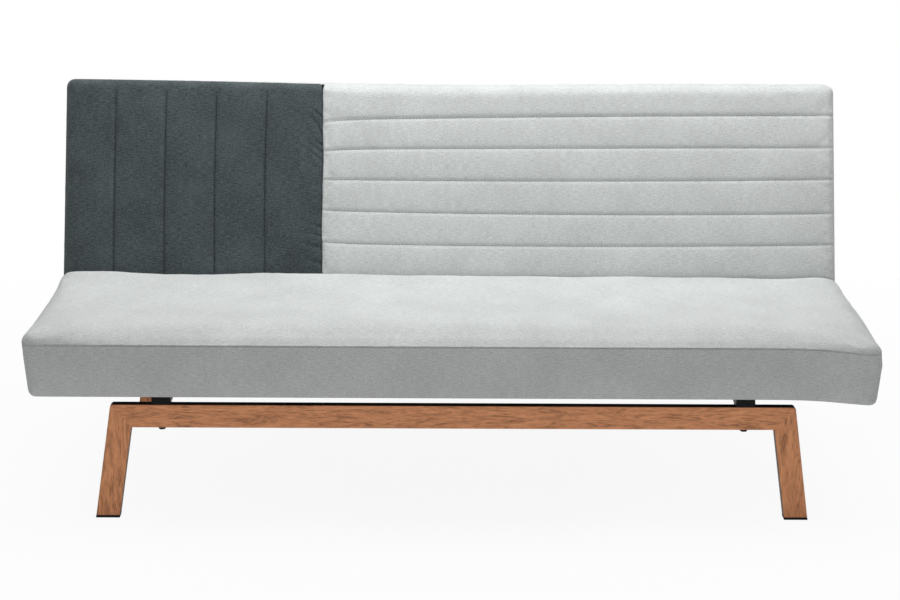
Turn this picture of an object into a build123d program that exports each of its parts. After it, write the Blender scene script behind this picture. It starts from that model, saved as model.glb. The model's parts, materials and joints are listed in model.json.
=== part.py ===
from build123d import *

import os
from math import cos, radians, sin, tan

# Armless sofa bed. An upholstered seat stands on two splayed tube frames, and an upholstered
# backrest folds on two ratchet hinges: upright for sitting, half way for lounging, flat for sleeping.
# Millimetres. +Z is up, X runs along the width and the front faces -Y. The origin is on the floor,
# under the middle of the outline. It is drawn in the sitting position.

os.makedirs("parts", exist_ok=True)

# Upholstery
sofa_width = 1800
seat_to_back_depth = 563  # seat front to the line where the seat's top meets the back's front
seat_thickness = 138
seat_crown = 6
seat_edge_radius = 23  # top edge at the front and the ends, above the seam
seat_rear_radius = 20
seat_bottom_radius = 10
seat_plan_radius = 32
seat_end_draw_in = 12  # how far the cover pulls each end in at the bottom
seat_front_draw_in = 5
seat_band_wall = 22
seat_rear_setback = 18  # crevice between the seat's rear edge and the back
seat_undercut = 14  # the rear face leans forward below its top edge, as the back does
seat_undercut_height = 48
back_angle = 18  # lean of the back from upright, degrees
back_thickness = 120
back_visible_length = 458  # seat top to the top edge, along the back
back_below_pivot = 40
back_edge_radius = 20
back_bottom_radius = 25
back_rear_radius = 10
back_corner_radius = 20
back_band_wall = 16
back_top_ease = 1.5  # the top face lies this far into the edge rounding
back_top_dip = 4.5  # the top edge is drawn in between its corners
channel_depth = 7
light_channel_count = 7  # level channels of the pale panel
dark_panel_width = 600
dark_channel_width = 117.5  # upright channels of the dark panel; the last one takes the rest
panel_joint_radius = 22  # the pale panel turns down into the joint with the dark one
panel_joint_swell = 2

# Leg frames
frame_height = 250
frame_end_inset = 180  # sofa end to the top corner of the leg frames
frame_setback = 27  # seat front to the front frame's face
rear_frame_reach = 99  # hinge pivot to the rear frame's front face
leg_splay = 8.4
leg_tube_width = 50
leg_tube_depth = 25
tube_wall = 1.5
tube_edge_radius = 2.5
frame_corner_radius = 7
glide_height = 6
glide_insert = 18
plug_clearance = 0.3
cross_rail_end_inset = 286.5
cross_rail_width = 40
cross_rail_height = 20
end_plug_flange = 2
end_plug_insert = 6
bumper_radius = 17
bumper_clearance = 0.4

# Timber, suspension and dust cover
dust_cover_thickness = 1
timber_width = 30
seat_timber_height = 42
brace_width = 40
spring_wire = 4
spring_half_width = 24
spring_pitch = 48
spring_loop = 14  # straight run at each side of the wave
spring_inner_count = 6
suspension_spacing = 190
suspension_end_inset = 160
strap_width = 60
strap_thickness = 2
back_timber_width = 40
back_timber_depth = 50
back_panel_thickness = 4
stile_recess = 10  # the hinge stiles stand back from the rails by this much

# Ratchet hinges
pivot_below_seat_top = 62
hinge_pin_radius = 6
pin_head_radius = 10
pin_head_height = 4
running_clearance = 0.05
bracket_plate = 4
bracket_gap = 32
bracket_front = 58
bracket_rear = 58
cheek_radius = 20
cheek_front_shoulder = 22
cheek_rear_shoulder = 50
arm_plate = 6
hub_radius = 22
hub_boss_radius = 11
arm_flange_width = 40
arm_flange_bottom = 28
arm_flange_top = 200
arm_screw_places = (70, 120, 180)
arm_screw_radius = 3
arm_screw_length = 32
screw_head_radius = 6
screw_head_height = 3.5
ratchet_plate = 8
ratchet_radius = 34
tooth_depth = 5
notch_floor_rear = 2.9  # notch corners, degrees from the notch's own line
notch_mouth_rear = 7.4
notch_floor_front = 1.4
notch_mouth_front = 5.4
pawl_slack = 0.9  # the pawl's corners keep this many degrees from the notch's
lock_angle = -93  # where the pawl meets the ratchet, degrees from straight back, downwards
fold_release = -14
fold_lounge = 36
fold_flat = 90 - back_angle
sector_margin = 10
pawl_pin_forward = 30
pawl_pin_below = 46
pawl_pin_radius = 4
pawl_boss_radius = 9
pawl_lift = 11  # the pawl is drawn lifted clear of the teeth by this angle
pawl_clearance = 0.5
side_clearance = 0.3
leaf_thickness = 1
leaf_width = 16
leaf_bend = 12  # behind the pivot, where the leaf starts to rise
leaf_tail = 5
slot_clearance = 8
slot_top = 46
slot_front = 37

# Fasteners; shanks and their holes are drawn with flats
shank_sides = 8
bolt_radius = 4
bolt_hole_radius = 4.3
bolt_head_radius = 7.5
bolt_head_height = 5.5
bolt_nut_height = 6.5
bolt_end = 2  # how far a bolt stands out of its nut
tee_nut_radius = 5.2
tee_nut_flange_radius = 11
tee_nut_flange = 1.5
tee_nut_barrel = 10
tee_hole_radius = 5.4

# Places worked out from the sizes above
splay = radians(leg_splay)
lean = radians(back_angle)
seat_bottom = frame_height + cross_rail_height
seat_top = seat_bottom + seat_thickness
seam_height = seat_top - seat_edge_radius
corner_reach = pivot_below_seat_top * tan(radians(45) - lean / 2)
back_above_pivot = back_visible_length + corner_reach
back_rear_reach = back_thickness - pivot_below_seat_top
outline_depth = (
    seat_to_back_depth
    + corner_reach
    + (back_above_pivot - back_rear_radius) * sin(lean)
    + (back_rear_reach - back_rear_radius) * cos(lean)
    + back_rear_radius
)
seat_front = -outline_depth / 2
seat_rear = seat_front + seat_to_back_depth - seat_rear_setback
pivot_z = seat_top - pivot_below_seat_top
pivot_y = seat_front + seat_to_back_depth + corner_reach
pivot = Vector(0, pivot_y, pivot_z)
back_up = Vector(0, sin(lean), cos(lean))
back_forward = Vector(0, -cos(lean), sin(lean))
half_width = sofa_width / 2
hinge_x = half_width - cross_rail_end_inset
frame_half_width = half_width - frame_end_inset
SIDES = (("left", -1), ("right", 1))

front_frame_y = seat_front + frame_setback
rear_frame_y = pivot_y + rear_frame_reach
front_bolt_y = front_frame_y + leg_tube_depth / 2
rear_bolt_y = rear_frame_y + leg_tube_depth / 2

core_half = half_width - seat_end_draw_in - seat_band_wall
core_front = seat_front + seat_front_draw_in + seat_band_wall
core_rear = seat_rear - seat_undercut - seat_band_wall
timber_bottom = seat_bottom + dust_cover_thickness
timber_top = timber_bottom + seat_timber_height
pad_bottom = timber_top + spring_wire
rear_timber_y = core_rear - timber_width
seat_bolt_y = rear_timber_y + timber_width / 2

bracket_base_z = seat_bottom + bracket_plate - pivot_z
bracket_half = bracket_gap / 2 + bracket_plate
hub_reach = bracket_gap / 2 - side_clearance
bracket_bolt_reach = bracket_front - 2 * bolt_head_radius
cross_rail_bolts = (
    front_bolt_y,
    seat_bolt_y,
    pivot_y - bracket_bolt_reach,
    pivot_y + bracket_bolt_reach,
    rear_bolt_y,
)

back_seam = pivot_below_seat_top - back_edge_radius
back_core_half = half_width - back_band_wall
back_core_bottom = back_band_wall - back_below_pivot
back_top_edge = back_above_pivot - back_top_ease
back_core_top = back_top_edge - back_top_dip - back_band_wall
panel_front = back_panel_thickness - back_rear_reach
rail_front = panel_front + back_timber_depth
strap_front = rail_front + strap_thickness
stile_front = rail_front - stile_recess
flange_front = stile_front + arm_plate
rail_bottom = slot_top
panel_joint = dark_panel_width - half_width
slot_half = bracket_half + pin_head_height + slot_clearance


def shank_hole(places, radius, top, depth):
    """Upright cutter for bolt holes at plan places, from top down."""
    with BuildPart() as cutter:
        with BuildSketch(Plane.XY.offset(top)):
            with Locations(*places):
                RegularPolygon(radius, shank_sides)
        extrude(amount=-depth)
    return cutter.part


def write(piece, name):
    """Label a finished piece and write it under its name."""
    piece.part.label = name
    export_step(piece.part, f"parts/{name}.step")


def polar(radius, angle):
    """Point of a hinge plane at a radius and an angle in degrees."""
    return (radius * cos(radians(angle)), radius * sin(radians(angle)))


def hinge_plane(x):
    """Upright plane across the width at x: local axes run back and up from the hinge pivot."""
    return Plane(origin=pivot + Vector(x, 0, 0), x_dir=(0, 1, 0), z_dir=(1, 0, 0))


def back_section(x):
    """Plane across the width at x: local axes run up the back and out of its front."""
    return Plane(origin=pivot + Vector(x, 0, 0), x_dir=back_up, z_dir=(1, 0, 0))


def back_plan(height):
    """Plane square to the back at a height above the pivot: local axes X and out of the front."""
    return Plane(origin=pivot + back_up * height, x_dir=(1, 0, 0), z_dir=-back_up)


# The back's own plane through the pivot: local axes X, up the back, and out of its front
back_plane = Plane(origin=pivot, x_dir=(1, 0, 0), z_dir=back_forward)


# Leg frames: an inverted U of rectangular tube, mitred at both corners
def leg_edge(z, inset):
    """X of the right leg's line that lies inset from its outer edge."""
    return frame_half_width + (frame_height - z) * tan(splay) - inset / cos(splay)


def frame_outline(inset, bottom):
    """Corners of the U, offset into the tube by inset, with the legs cut level at bottom."""
    top = frame_height - inset
    under = frame_height - leg_tube_width + inset
    far = leg_tube_width - inset
    half = [
        (leg_edge(top, inset), top),
        (leg_edge(bottom, inset), bottom),
        (leg_edge(bottom, far), bottom),
        (leg_edge(under, far), under),
    ]
    return half + [(-x, z) for x, z in reversed(half)]


def leg_frame(face_y):
    """The whole hollow U with its front face at face_y."""
    with BuildPart() as frame:
        with BuildSketch(Plane.XZ.offset(-face_y)) as outline:
            with BuildLine():
                Polyline(*frame_outline(0, glide_height), close=True)
            make_face()
            fillet(outline.vertices().group_by(Axis.Y)[-1], frame_corner_radius)
        extrude(amount=-leg_tube_depth)
        rims = frame.edges().group_by(Axis.Y)
        long_edges = (rims[0] + rims[-1]).filter_by(lambda e: e.center().Z > glide_height + 1)
        fillet(long_edges, tube_edge_radius)
        with BuildSketch(Plane.XZ.offset(-face_y - tube_wall)):
            with BuildLine():
                Polyline(*frame_outline(tube_wall, glide_height - tube_wall), close=True)
            make_face()
        extrude(amount=2 * tube_wall - leg_tube_depth, mode=Mode.SUBTRACT)
    return frame.part


def mitre_plane(side):
    """Plane of the mitre at one corner of the U, facing the leg."""
    under = frame_height - leg_tube_width
    inner_shift = leg_edge(under, leg_tube_width) - frame_half_width
    return Plane(
        origin=(side * frame_half_width, 0, frame_height),
        z_dir=(side * leg_tube_width, 0, inner_shift),
    )


for end, face_y in (("front", front_frame_y), ("rear", rear_frame_y)):
    whole_frame = leg_frame(face_y)
    bolt_places = [(s * hinge_x, face_y + leg_tube_depth / 2) for n, s in SIDES]
    frame_holes = shank_hole(bolt_places, bolt_hole_radius, frame_height, leg_tube_width)
    with BuildPart() as leg_rail:
        add(whole_frame)
        for side_name, side in SIDES:
            split(bisect_by=mitre_plane(side), keep=Keep.BOTTOM)
        add(frame_holes, mode=Mode.SUBTRACT)
    write(leg_rail, f"{end}_rail")
    for side_name, side in SIDES:
        with BuildPart() as leg:
            add(whole_frame)
            split(bisect_by=mitre_plane(side), keep=Keep.TOP)
        write(leg, f"{end}_{side_name}_leg")


# Glides: a plastic foot with a plug that goes up into the leg tube
def leg_slice(side, inset, low, high):
    """Corners of a leg between two levels, offset into the tube by inset."""
    far = leg_tube_width - inset
    corners = [(low, inset), (high, inset), (high, far), (low, far)]
    return [(side * leg_edge(z, reach), z) for z, reach in corners]


plug_inset = tube_wall + plug_clearance
with BuildPart() as leg_glides:
    for face_y in (front_frame_y, rear_frame_y):
        for side_name, side in SIDES:
            with BuildSketch(Plane.XZ.offset(-face_y)):
                with BuildLine():
                    Polyline(*leg_slice(side, 0, 0, glide_height), close=True)
                make_face()
            extrude(amount=-leg_tube_depth)
            with BuildSketch(Plane.XZ.offset(-face_y - plug_inset)):
                with BuildLine():
                    top = glide_height + glide_insert
                    Polyline(*leg_slice(side, plug_inset, glide_height, top), close=True)
                make_face()
            extrude(amount=2 * plug_inset - leg_tube_depth)
    chamfer(leg_glides.edges().group_by(Axis.Z)[0], 1)
write(leg_glides, "leg_glides")

# Cross rails: tubes that lie on both leg frames and carry the seat and the hinges
rail_start = front_frame_y + end_plug_flange
rail_length = rear_frame_y + leg_tube_depth - front_frame_y - 2 * end_plug_flange
cross_rail_z = frame_height + cross_rail_height / 2
for side_name, side in SIDES:
    bolt_places = [(side * hinge_x, y) for y in cross_rail_bolts]
    rail_holes = shank_hole(bolt_places, bolt_hole_radius, seat_bottom, cross_rail_height)
    with BuildPart() as cross_rail:
        with BuildSketch(Plane.XZ.offset(-rail_start)):
            with Locations((side * hinge_x, cross_rail_z)):
                RectangleRounded(cross_rail_width, cross_rail_height, tube_edge_radius)
                RectangleRounded(
                    cross_rail_width - 2 * tube_wall,
                    cross_rail_height - 2 * tube_wall,
                    tube_edge_radius - tube_wall,
                    mode=Mode.SUBTRACT,
                )
        extrude(amount=-rail_length)
        add(rail_holes, mode=Mode.SUBTRACT)
    write(cross_rail, f"{side_name}_cross_rail")

rail_mouths = ((rail_start, -1), (rail_start + rail_length, 1))
with BuildPart() as cross_rail_plugs:
    for mouth_y, outwards in rail_mouths:
        for side_name, side in SIDES:
            with BuildSketch(Plane.XZ.offset(-mouth_y)) as flange:
                with Locations((side * hinge_x, cross_rail_z)):
                    Rectangle(cross_rail_width, cross_rail_height)
                chamfer(flange.vertices(), tube_edge_radius)
            extrude(amount=-outwards * end_plug_flange)
            with BuildSketch(Plane.XZ.offset(-mouth_y)):
                with Locations((side * hinge_x, cross_rail_z)):
                    Rectangle(cross_rail_width - 2 * plug_inset, cross_rail_height - 2 * plug_inset)
            extrude(amount=outwards * end_plug_insert)
write(cross_rail_plugs, "cross_rail_plugs")


# Bolts, nuts and rubber bumpers
def hex_bolt(x, y, seat_z, tip_z):
    """Hexagon bolt whose head bears at seat_z and whose shank ends at tip_z."""
    upwards = 1 if tip_z > seat_z else -1
    with BuildPart() as bolt:
        with BuildSketch(Plane.XY.offset(seat_z)):
            with Locations((x, y)):
                RegularPolygon(bolt_head_radius, 6)
        extrude(amount=-upwards * bolt_head_height)
        with BuildSketch(Plane.XY.offset(seat_z)):
            with Locations((x, y)):
                RegularPolygon(bolt_radius, shank_sides)
        extrude(amount=tip_z - seat_z)
    return bolt.part


def hex_nut(x, y, seat_z, upwards):
    """Nut that bears at seat_z and stands above it, or hangs below it."""
    with BuildPart() as nut:
        with BuildSketch(Plane.XY.offset(seat_z)):
            with Locations((x, y)):
                RegularPolygon(bolt_head_radius, 6)
                RegularPolygon(bolt_radius + running_clearance, shank_sides, mode=Mode.SUBTRACT)
        extrude(amount=upwards * bolt_nut_height)
    return nut.part


def tee_nut(x, y):
    """Flanged nut let into the seat timber from above."""
    with BuildPart() as nut:
        with BuildSketch(Plane.XY.offset(timber_top)):
            with Locations((x, y)):
                RegularPolygon(tee_nut_flange_radius, shank_sides)
                RegularPolygon(bolt_radius + running_clearance, shank_sides, mode=Mode.SUBTRACT)
        extrude(amount=tee_nut_flange)
        with BuildSketch(Plane.XY.offset(timber_top)):
            with Locations((x, y)):
                RegularPolygon(tee_nut_radius, shank_sides)
                RegularPolygon(bolt_radius + running_clearance, shank_sides, mode=Mode.SUBTRACT)
        extrude(amount=-tee_nut_barrel)
    return nut.part


rail_underside = frame_height - leg_tube_width
frame_fasteners = []
seat_fasteners = []
for side_name, side in SIDES:
    x = side * hinge_x
    frame_fasteners += [
        hex_bolt(x, front_bolt_y, rail_underside, timber_top),
        tee_nut(x, front_bolt_y),
        hex_bolt(x, rear_bolt_y, rail_underside, seat_bottom + bolt_nut_height + bolt_end),
        hex_nut(x, rear_bolt_y, seat_bottom, 1),
    ]
    seat_fasteners += [hex_bolt(x, seat_bolt_y, frame_height, timber_top), tee_nut(x, seat_bolt_y)]
with BuildPart() as frame_bolts:
    add(frame_fasteners)
write(frame_bolts, "frame_bolts")
with BuildPart() as seat_bolts:
    add(seat_fasteners)
write(seat_bolts, "seat_bolts")

bumper_height = pivot_z - back_rear_reach - seat_bottom - bumper_clearance
with BuildPart() as rest_bumpers:
    with BuildSketch(Plane.XY.offset(seat_bottom)):
        with Locations(*[(s * hinge_x, rear_bolt_y) for n, s in SIDES]):
            Circle(bumper_radius)
    extrude(amount=bumper_height, taper=8)
    with BuildSketch(Plane.XY.offset(seat_bottom)):
        with Locations(*[(s * hinge_x, rear_bolt_y) for n, s in SIDES]):
            RegularPolygon(bolt_head_radius + plug_clearance, 6)
    extrude(amount=bolt_nut_height + bolt_end + plug_clearance, mode=Mode.SUBTRACT)
write(rest_bumpers, "rest_bumpers")

# Seat timber, with the cross braces over the cross rails
seat_screw_places = [(s * hinge_x, y) for n, s in SIDES for y in (front_bolt_y, seat_bolt_y)]


def timber(name, low, high):
    """Seat timber between two plan corners, bored where a bolt passes."""
    inside = [p for p in seat_screw_places if low[0] < p[0] < high[0] and low[1] < p[1] < high[1]]
    bores = shank_hole(inside, tee_hole_radius, timber_top, seat_timber_height) if inside else None
    with BuildPart() as beam:
        with BuildSketch(Plane.XY.offset(timber_bottom)):
            with Locations(((low[0] + high[0]) / 2, (low[1] + high[1]) / 2)):
                Rectangle(high[0] - low[0], high[1] - low[1])
        extrude(amount=seat_timber_height)
        if inside:
            add(bores, mode=Mode.SUBTRACT)
    write(beam, name)


front_timber_rear = core_front + timber_width
timber("seat_front_timber", (-core_half, core_front), (core_half, front_timber_rear))
timber("seat_rear_timber", (-core_half, rear_timber_y), (core_half, core_rear))
for side_name, side in SIDES:
    outer = sorted((side * core_half, side * (core_half - timber_width)))
    timber(f"seat_{side_name}_timber", (outer[0], front_timber_rear), (outer[1], rear_timber_y))
    middle = side * hinge_x
    timber(
        f"seat_{side_name}_brace",
        (middle - brace_width / 2, front_timber_rear),
        (middle + brace_width / 2, rear_timber_y),
    )

# Zigzag springs from the front timber to the rear one
suspension_places = [
    (i - (spring_inner_count - 1) / 2) * suspension_spacing for i in range(spring_inner_count)
] + [s * (half_width - suspension_end_inset) for n, s in SIDES]


def zigzag(x):
    """Centre line of one spring in plan: slanted bars joined by short runs at the sides."""
    start = core_front + timber_width / 3
    bars = int((core_rear - timber_width / 3 - start - spring_loop) / spring_pitch)
    points = []
    for i in range(bars + 1):
        side = 1 if i % 2 == 0 else -1
        y = start + i * spring_pitch
        points += [(x + side * spring_half_width, y), (x + side * spring_half_width, y + spring_loop)]
    return points


with BuildPart() as seat_springs:
    for x in suspension_places:
        with BuildSketch(Plane.XY.offset(timber_top)):
            with BuildLine() as wire:
                Polyline(*zigzag(x))
            trace(wire.edges(), line_width=spring_wire)
        extrude(amount=spring_wire)
write(seat_springs, "seat_springs")

with BuildPart() as seat_dust_cover:
    with BuildSketch(Plane.XY.offset(seat_bottom)):
        with Locations((0, (core_front + core_rear) / 2)):
            Rectangle(2 * core_half, core_rear - core_front)
        with Locations(*seat_screw_places):
            RegularPolygon(tee_hole_radius, shank_sides, mode=Mode.SUBTRACT)
    extrude(amount=dust_cover_thickness)
write(seat_dust_cover, "seat_dust_cover")


# Seat upholstery: a crowned top pad over a band that wraps the timber
def seat_body():
    """The seat's whole outer form, from its side, front and plan outlines."""
    rear_low = seat_rear - seat_undercut
    rear_shoulder = seat_top - seat_rear_radius
    quarter = 1 - cos(radians(45))
    end_radius = seat_edge_radius + seat_crown
    with BuildPart() as body:
        with BuildSketch(Plane.YZ) as side:
            with BuildLine():
                front = Line((seat_front + seat_front_draw_in, seat_bottom), (seat_front, seam_height))
                nose_end = (seat_front + seat_edge_radius, seat_top)
                nose = SagittaArc(front @ 1, nose_end, quarter * seat_edge_radius)
                crown = SagittaArc(nose @ 1, (seat_rear - seat_rear_radius, seat_top), seat_crown)
                tail_end = (seat_rear, rear_shoulder)
                tail = SagittaArc(crown @ 1, tail_end, quarter * seat_rear_radius)
                lean_line = Line(tail @ 1, (rear_low, rear_shoulder - seat_undercut_height))
                Polyline(lean_line @ 1, (rear_low, seat_bottom), front @ 0)
            make_face()
            fillet(side.vertices().group_by(Axis.Y)[0], seat_bottom_radius)
        extrude(amount=half_width, both=True)
        with BuildSketch(Plane.XZ) as front_view:
            with BuildLine():
                low = half_width - seat_end_draw_in
                top = seat_top + seat_crown
                right = Line((low, seat_bottom), (half_width, seam_height))
                right_end = (half_width - end_radius, top)
                right_round = SagittaArc(right @ 1, right_end, -quarter * end_radius)
                across = Line(right_round @ 1, (end_radius - half_width, top))
                left_round = SagittaArc(across @ 1, (-half_width, seam_height), -quarter * end_radius)
                Polyline(left_round @ 1, (-low, seat_bottom), right @ 0)
            make_face()
            fillet(front_view.vertices().group_by(Axis.Y)[0], seat_bottom_radius)
        extrude(amount=outline_depth, both=True, mode=Mode.INTERSECT)
        with BuildSketch(Plane.XY):
            with Locations((0, (seat_front + seat_rear) / 2)):
                RectangleRounded(sofa_width, seat_rear - seat_front, seat_plan_radius)
        extrude(amount=seat_top + sofa_width, mode=Mode.INTERSECT)
    return body.part


def ring_quarter(name, outer, core):
    """Corners of one mitred side of the ring between an outer and a core rectangle."""
    (ox0, oy0, ox1, oy1), (cx0, cy0, cx1, cy1) = outer, core
    return {
        "front": [(ox0, oy0), (ox1, oy0), (cx1, cy0), (cx0, cy0)],
        "rear": [(ox0, oy1), (ox1, oy1), (cx1, cy1), (cx0, cy1)],
        "left": [(ox0, oy0), (cx0, cy0), (cx0, cy1), (ox0, oy1)],
        "right": [(ox1, oy0), (cx1, cy0), (cx1, cy1), (ox1, oy1)],
    }[name]


seat_form = seat_body()
seat_core = (-core_half, core_front, core_half, core_rear)
spare = seat_band_wall
seat_outer = (-half_width - spare, seat_front - spare, half_width + spare, seat_rear + spare)
for band_name in ("front", "rear", "left", "right"):
    with BuildPart() as seat_band:
        add(seat_form)
        with BuildSketch(Plane.XY.offset(seat_bottom)):
            with BuildLine():
                Polyline(*ring_quarter(band_name, seat_outer, seat_core), close=True)
            make_face()
        extrude(amount=seam_height - seat_bottom, mode=Mode.INTERSECT)
    write(seat_band, f"seat_{band_name}_band")

core_middle = (0, (core_front + core_rear) / 2)
with BuildPart() as seat_pad:
    add(seat_form)
    with BuildSketch(Plane.XY.offset(seat_bottom)):
        with Locations(core_middle):
            Rectangle(sofa_width + 2 * spare, outline_depth)
            Rectangle(2 * core_half, core_rear - core_front, mode=Mode.SUBTRACT)
    extrude(amount=seam_height - seat_bottom, mode=Mode.SUBTRACT)
    with BuildSketch(Plane.XY.offset(seat_bottom)):
        with Locations(core_middle):
            Rectangle(2 * core_half, core_rear - core_front)
    extrude(amount=pad_bottom - seat_bottom, mode=Mode.SUBTRACT)
write(seat_pad, "seat_pad")


# Backrest upholstery
def back_body():
    """The back's whole outer form, from its section, front and plan outlines."""
    rear = -back_rear_reach
    front = pivot_below_seat_top
    r = back_corner_radius
    with BuildPart() as body:
        with BuildSketch(back_section(-half_width)) as section:
            with BuildLine():
                Polyline(
                    (-back_below_pivot, rear),
                    (back_above_pivot, rear),
                    (back_above_pivot, front),
                    (-back_below_pivot, front),
                    close=True,
                )
            make_face()
            fillet(section.vertices().group_by(Axis.Y)[0], back_rear_radius)
            fillet(section.vertices().group_by(Axis.Y)[-1].sort_by(Axis.X)[0], back_bottom_radius)
            fillet(section.vertices().group_by(Axis.Y)[-1].sort_by(Axis.X)[-1], back_edge_radius)
        extrude(amount=sofa_width)
        with BuildSketch(back_plane):
            with BuildLine():
                ends = half_width - r
                top = ThreePointArc(
                    (ends, back_top_edge),
                    (0, back_top_edge - back_top_dip),
                    (-ends, back_top_edge),
                )
                left_top = (-half_width, back_top_edge - r)
                left_round = RadiusArc(top @ 1, left_top, -r)
                left = Line(left_round @ 1, (-half_width, r - back_below_pivot))
                low_left = RadiusArc(left @ 1, (-ends, -back_below_pivot), -r)
                bottom = Line(low_left @ 1, (ends, -back_below_pivot))
                low_right = RadiusArc(bottom @ 1, (half_width, r - back_below_pivot), -r)
                right = Line(low_right @ 1, (half_width, back_top_edge - r))
                RadiusArc(right @ 1, top @ 0, -r)
            make_face()
        extrude(amount=back_thickness, both=True, mode=Mode.INTERSECT)
        with BuildSketch(back_plan(back_above_pivot)) as plan:
            with Locations((0, (front + rear) / 2)):
                Rectangle(sofa_width, back_thickness)
            fillet(plan.vertices().group_by(Axis.Y)[0], back_rear_radius)
            fillet(plan.vertices().group_by(Axis.Y)[-1], back_edge_radius)
        extrude(amount=back_above_pivot + back_below_pivot, mode=Mode.INTERSECT)
    return body.part


def scallops(edges, groove, back):
    """Closed outline of channels that swell between the stitch lines at edges."""
    with BuildSketch() as outline:
        with BuildLine():
            for low, high in zip(edges, edges[1:]):
                SagittaArc((low, groove), (high, groove), channel_depth)
            Polyline((edges[-1], groove), (edges[-1], back), (edges[0], back), (edges[0], groove))
        make_face()
    return outline.sketch


def slot_cutter():
    """Both hinge slots of the back, open below and behind."""
    with BuildPart() as cutter:
        for side_name, side in SIDES:
            with BuildSketch(back_section(side * hinge_x)):
                low, high = -back_thickness, slot_top
                with Locations(((low + high) / 2, (slot_front - back_thickness) / 2)):
                    Rectangle(high - low, slot_front + back_thickness)
            extrude(amount=slot_half, both=True)
    return cutter.part


back_form = back_body()
hinge_slots = slot_cutter()
groove_level = pivot_below_seat_top - channel_depth
back_length = back_above_pivot + back_below_pivot
light_pitch = back_length / light_channel_count
light_edges = [i * light_pitch - back_below_pivot for i in range(light_channel_count + 1)]
dark_count = int(dark_panel_width / dark_channel_width)
dark_edges = [i * dark_channel_width - half_width for i in range(dark_count)] + [panel_joint]
lip_half = half_width - back_band_wall - back_timber_width


def pad_backing():
    """What is cut from behind a pad: the bands' ring, and the timber's space above the foam lip."""
    with BuildPart() as backing:
        with BuildSketch(back_plane.offset(back_seam)):
            with Locations((0, (back_above_pivot - back_below_pivot) / 2)):
                Rectangle(2 * sofa_width, 2 * back_length)
            with Locations((0, (back_core_bottom + back_core_top) / 2)):
                core_height = back_core_top - back_core_bottom
                Rectangle(2 * back_core_half, core_height, mode=Mode.SUBTRACT)
        extrude(amount=-back_thickness)
        with BuildSketch(back_plane.offset(strap_front)):
            with Locations((0, (rail_bottom + back_core_top) / 2)):
                Rectangle(2 * sofa_width, back_core_top - rail_bottom)
            for side_name, side in SIDES:
                with Locations((side * (lip_half + back_timber_width), 0)):
                    Rectangle(2 * back_timber_width, 2 * back_length)
        extrude(amount=-back_thickness)
        with BuildSketch(back_plane.offset(panel_front)):
            Rectangle(2 * sofa_width, 4 * back_length)
        extrude(amount=-back_thickness)
    return backing.part


behind_pads = pad_backing()
light_face = scallops(light_edges, groove_level, -back_rear_reach)
dark_face = scallops(dark_edges, groove_level, -back_rear_reach)
with BuildPart() as backrest_light_pad:
    with BuildSketch(back_section(panel_joint)):
        add(light_face)
    extrude(amount=half_width - panel_joint)
    add(back_form, mode=Mode.INTERSECT)
    with BuildSketch(back_plan(back_above_pivot)):
        with BuildLine():
            joint_low = Line((panel_joint, -back_rear_reach), (panel_joint, groove_level))
            turned = (panel_joint + panel_joint_radius, pivot_below_seat_top)
            joint_arc = SagittaArc(joint_low @ 1, turned, panel_joint_swell)
            Polyline(
                joint_arc @ 1,
                (half_width, pivot_below_seat_top),
                (half_width, -back_rear_reach),
                joint_low @ 0,
            )
        make_face()
    extrude(amount=back_length, mode=Mode.INTERSECT)
    add(behind_pads, mode=Mode.SUBTRACT)
    add(hinge_slots, mode=Mode.SUBTRACT)
write(backrest_light_pad, "backrest_light_pad")

with BuildPart() as backrest_dark_pad:
    with BuildSketch(back_plan(back_above_pivot)):
        add(dark_face)
    extrude(amount=back_length)
    add(back_form, mode=Mode.INTERSECT)
    add(behind_pads, mode=Mode.SUBTRACT)
    add(hinge_slots, mode=Mode.SUBTRACT)
write(backrest_dark_pad, "backrest_dark_pad")

back_core = (-back_core_half, back_core_bottom, back_core_half, back_core_top)
spare = back_band_wall
back_outer = (
    -half_width - spare,
    -back_below_pivot - spare,
    half_width + spare,
    back_above_pivot + spare,
)
for band_name, ring_name in (("bottom", "front"), ("top", "rear"), ("left", "left"), ("right", "right")):
    with BuildPart() as back_band:
        add(back_form)
        with BuildSketch(back_plane.offset(back_seam)):
            with BuildLine():
                Polyline(*ring_quarter(ring_name, back_outer, back_core), close=True)
            make_face()
        extrude(amount=-back_thickness, mode=Mode.INTERSECT)
        add(hinge_slots, mode=Mode.SUBTRACT)
    write(back_band, f"backrest_{band_name}_band")

with BuildPart() as backrest_rear_panel:
    with BuildSketch(back_plane.offset(panel_front)):
        with Locations((0, (back_core_bottom + back_core_top) / 2)):
            Rectangle(2 * back_core_half, back_core_top - back_core_bottom)
    extrude(amount=-back_panel_thickness)
    add(hinge_slots, mode=Mode.SUBTRACT)
write(backrest_rear_panel, "backrest_rear_panel")


# Backrest timber and webbing
def back_timber(name, low, high, front, screws=()):
    """Back timber between two corners of the back's plane, with its front face at front."""
    with BuildPart() as beam:
        with BuildSketch(back_plane.offset(panel_front)):
            with Locations(((low[0] + high[0]) / 2, (low[1] + high[1]) / 2)):
                Rectangle(high[0] - low[0], high[1] - low[1])
        extrude(amount=front - panel_front)
        if screws:
            with BuildSketch(back_plane.offset(front)):
                with Locations(*screws):
                    RegularPolygon(arm_screw_radius + running_clearance, shank_sides)
            extrude(amount=-arm_screw_length, mode=Mode.SUBTRACT)
    write(beam, name)


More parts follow.
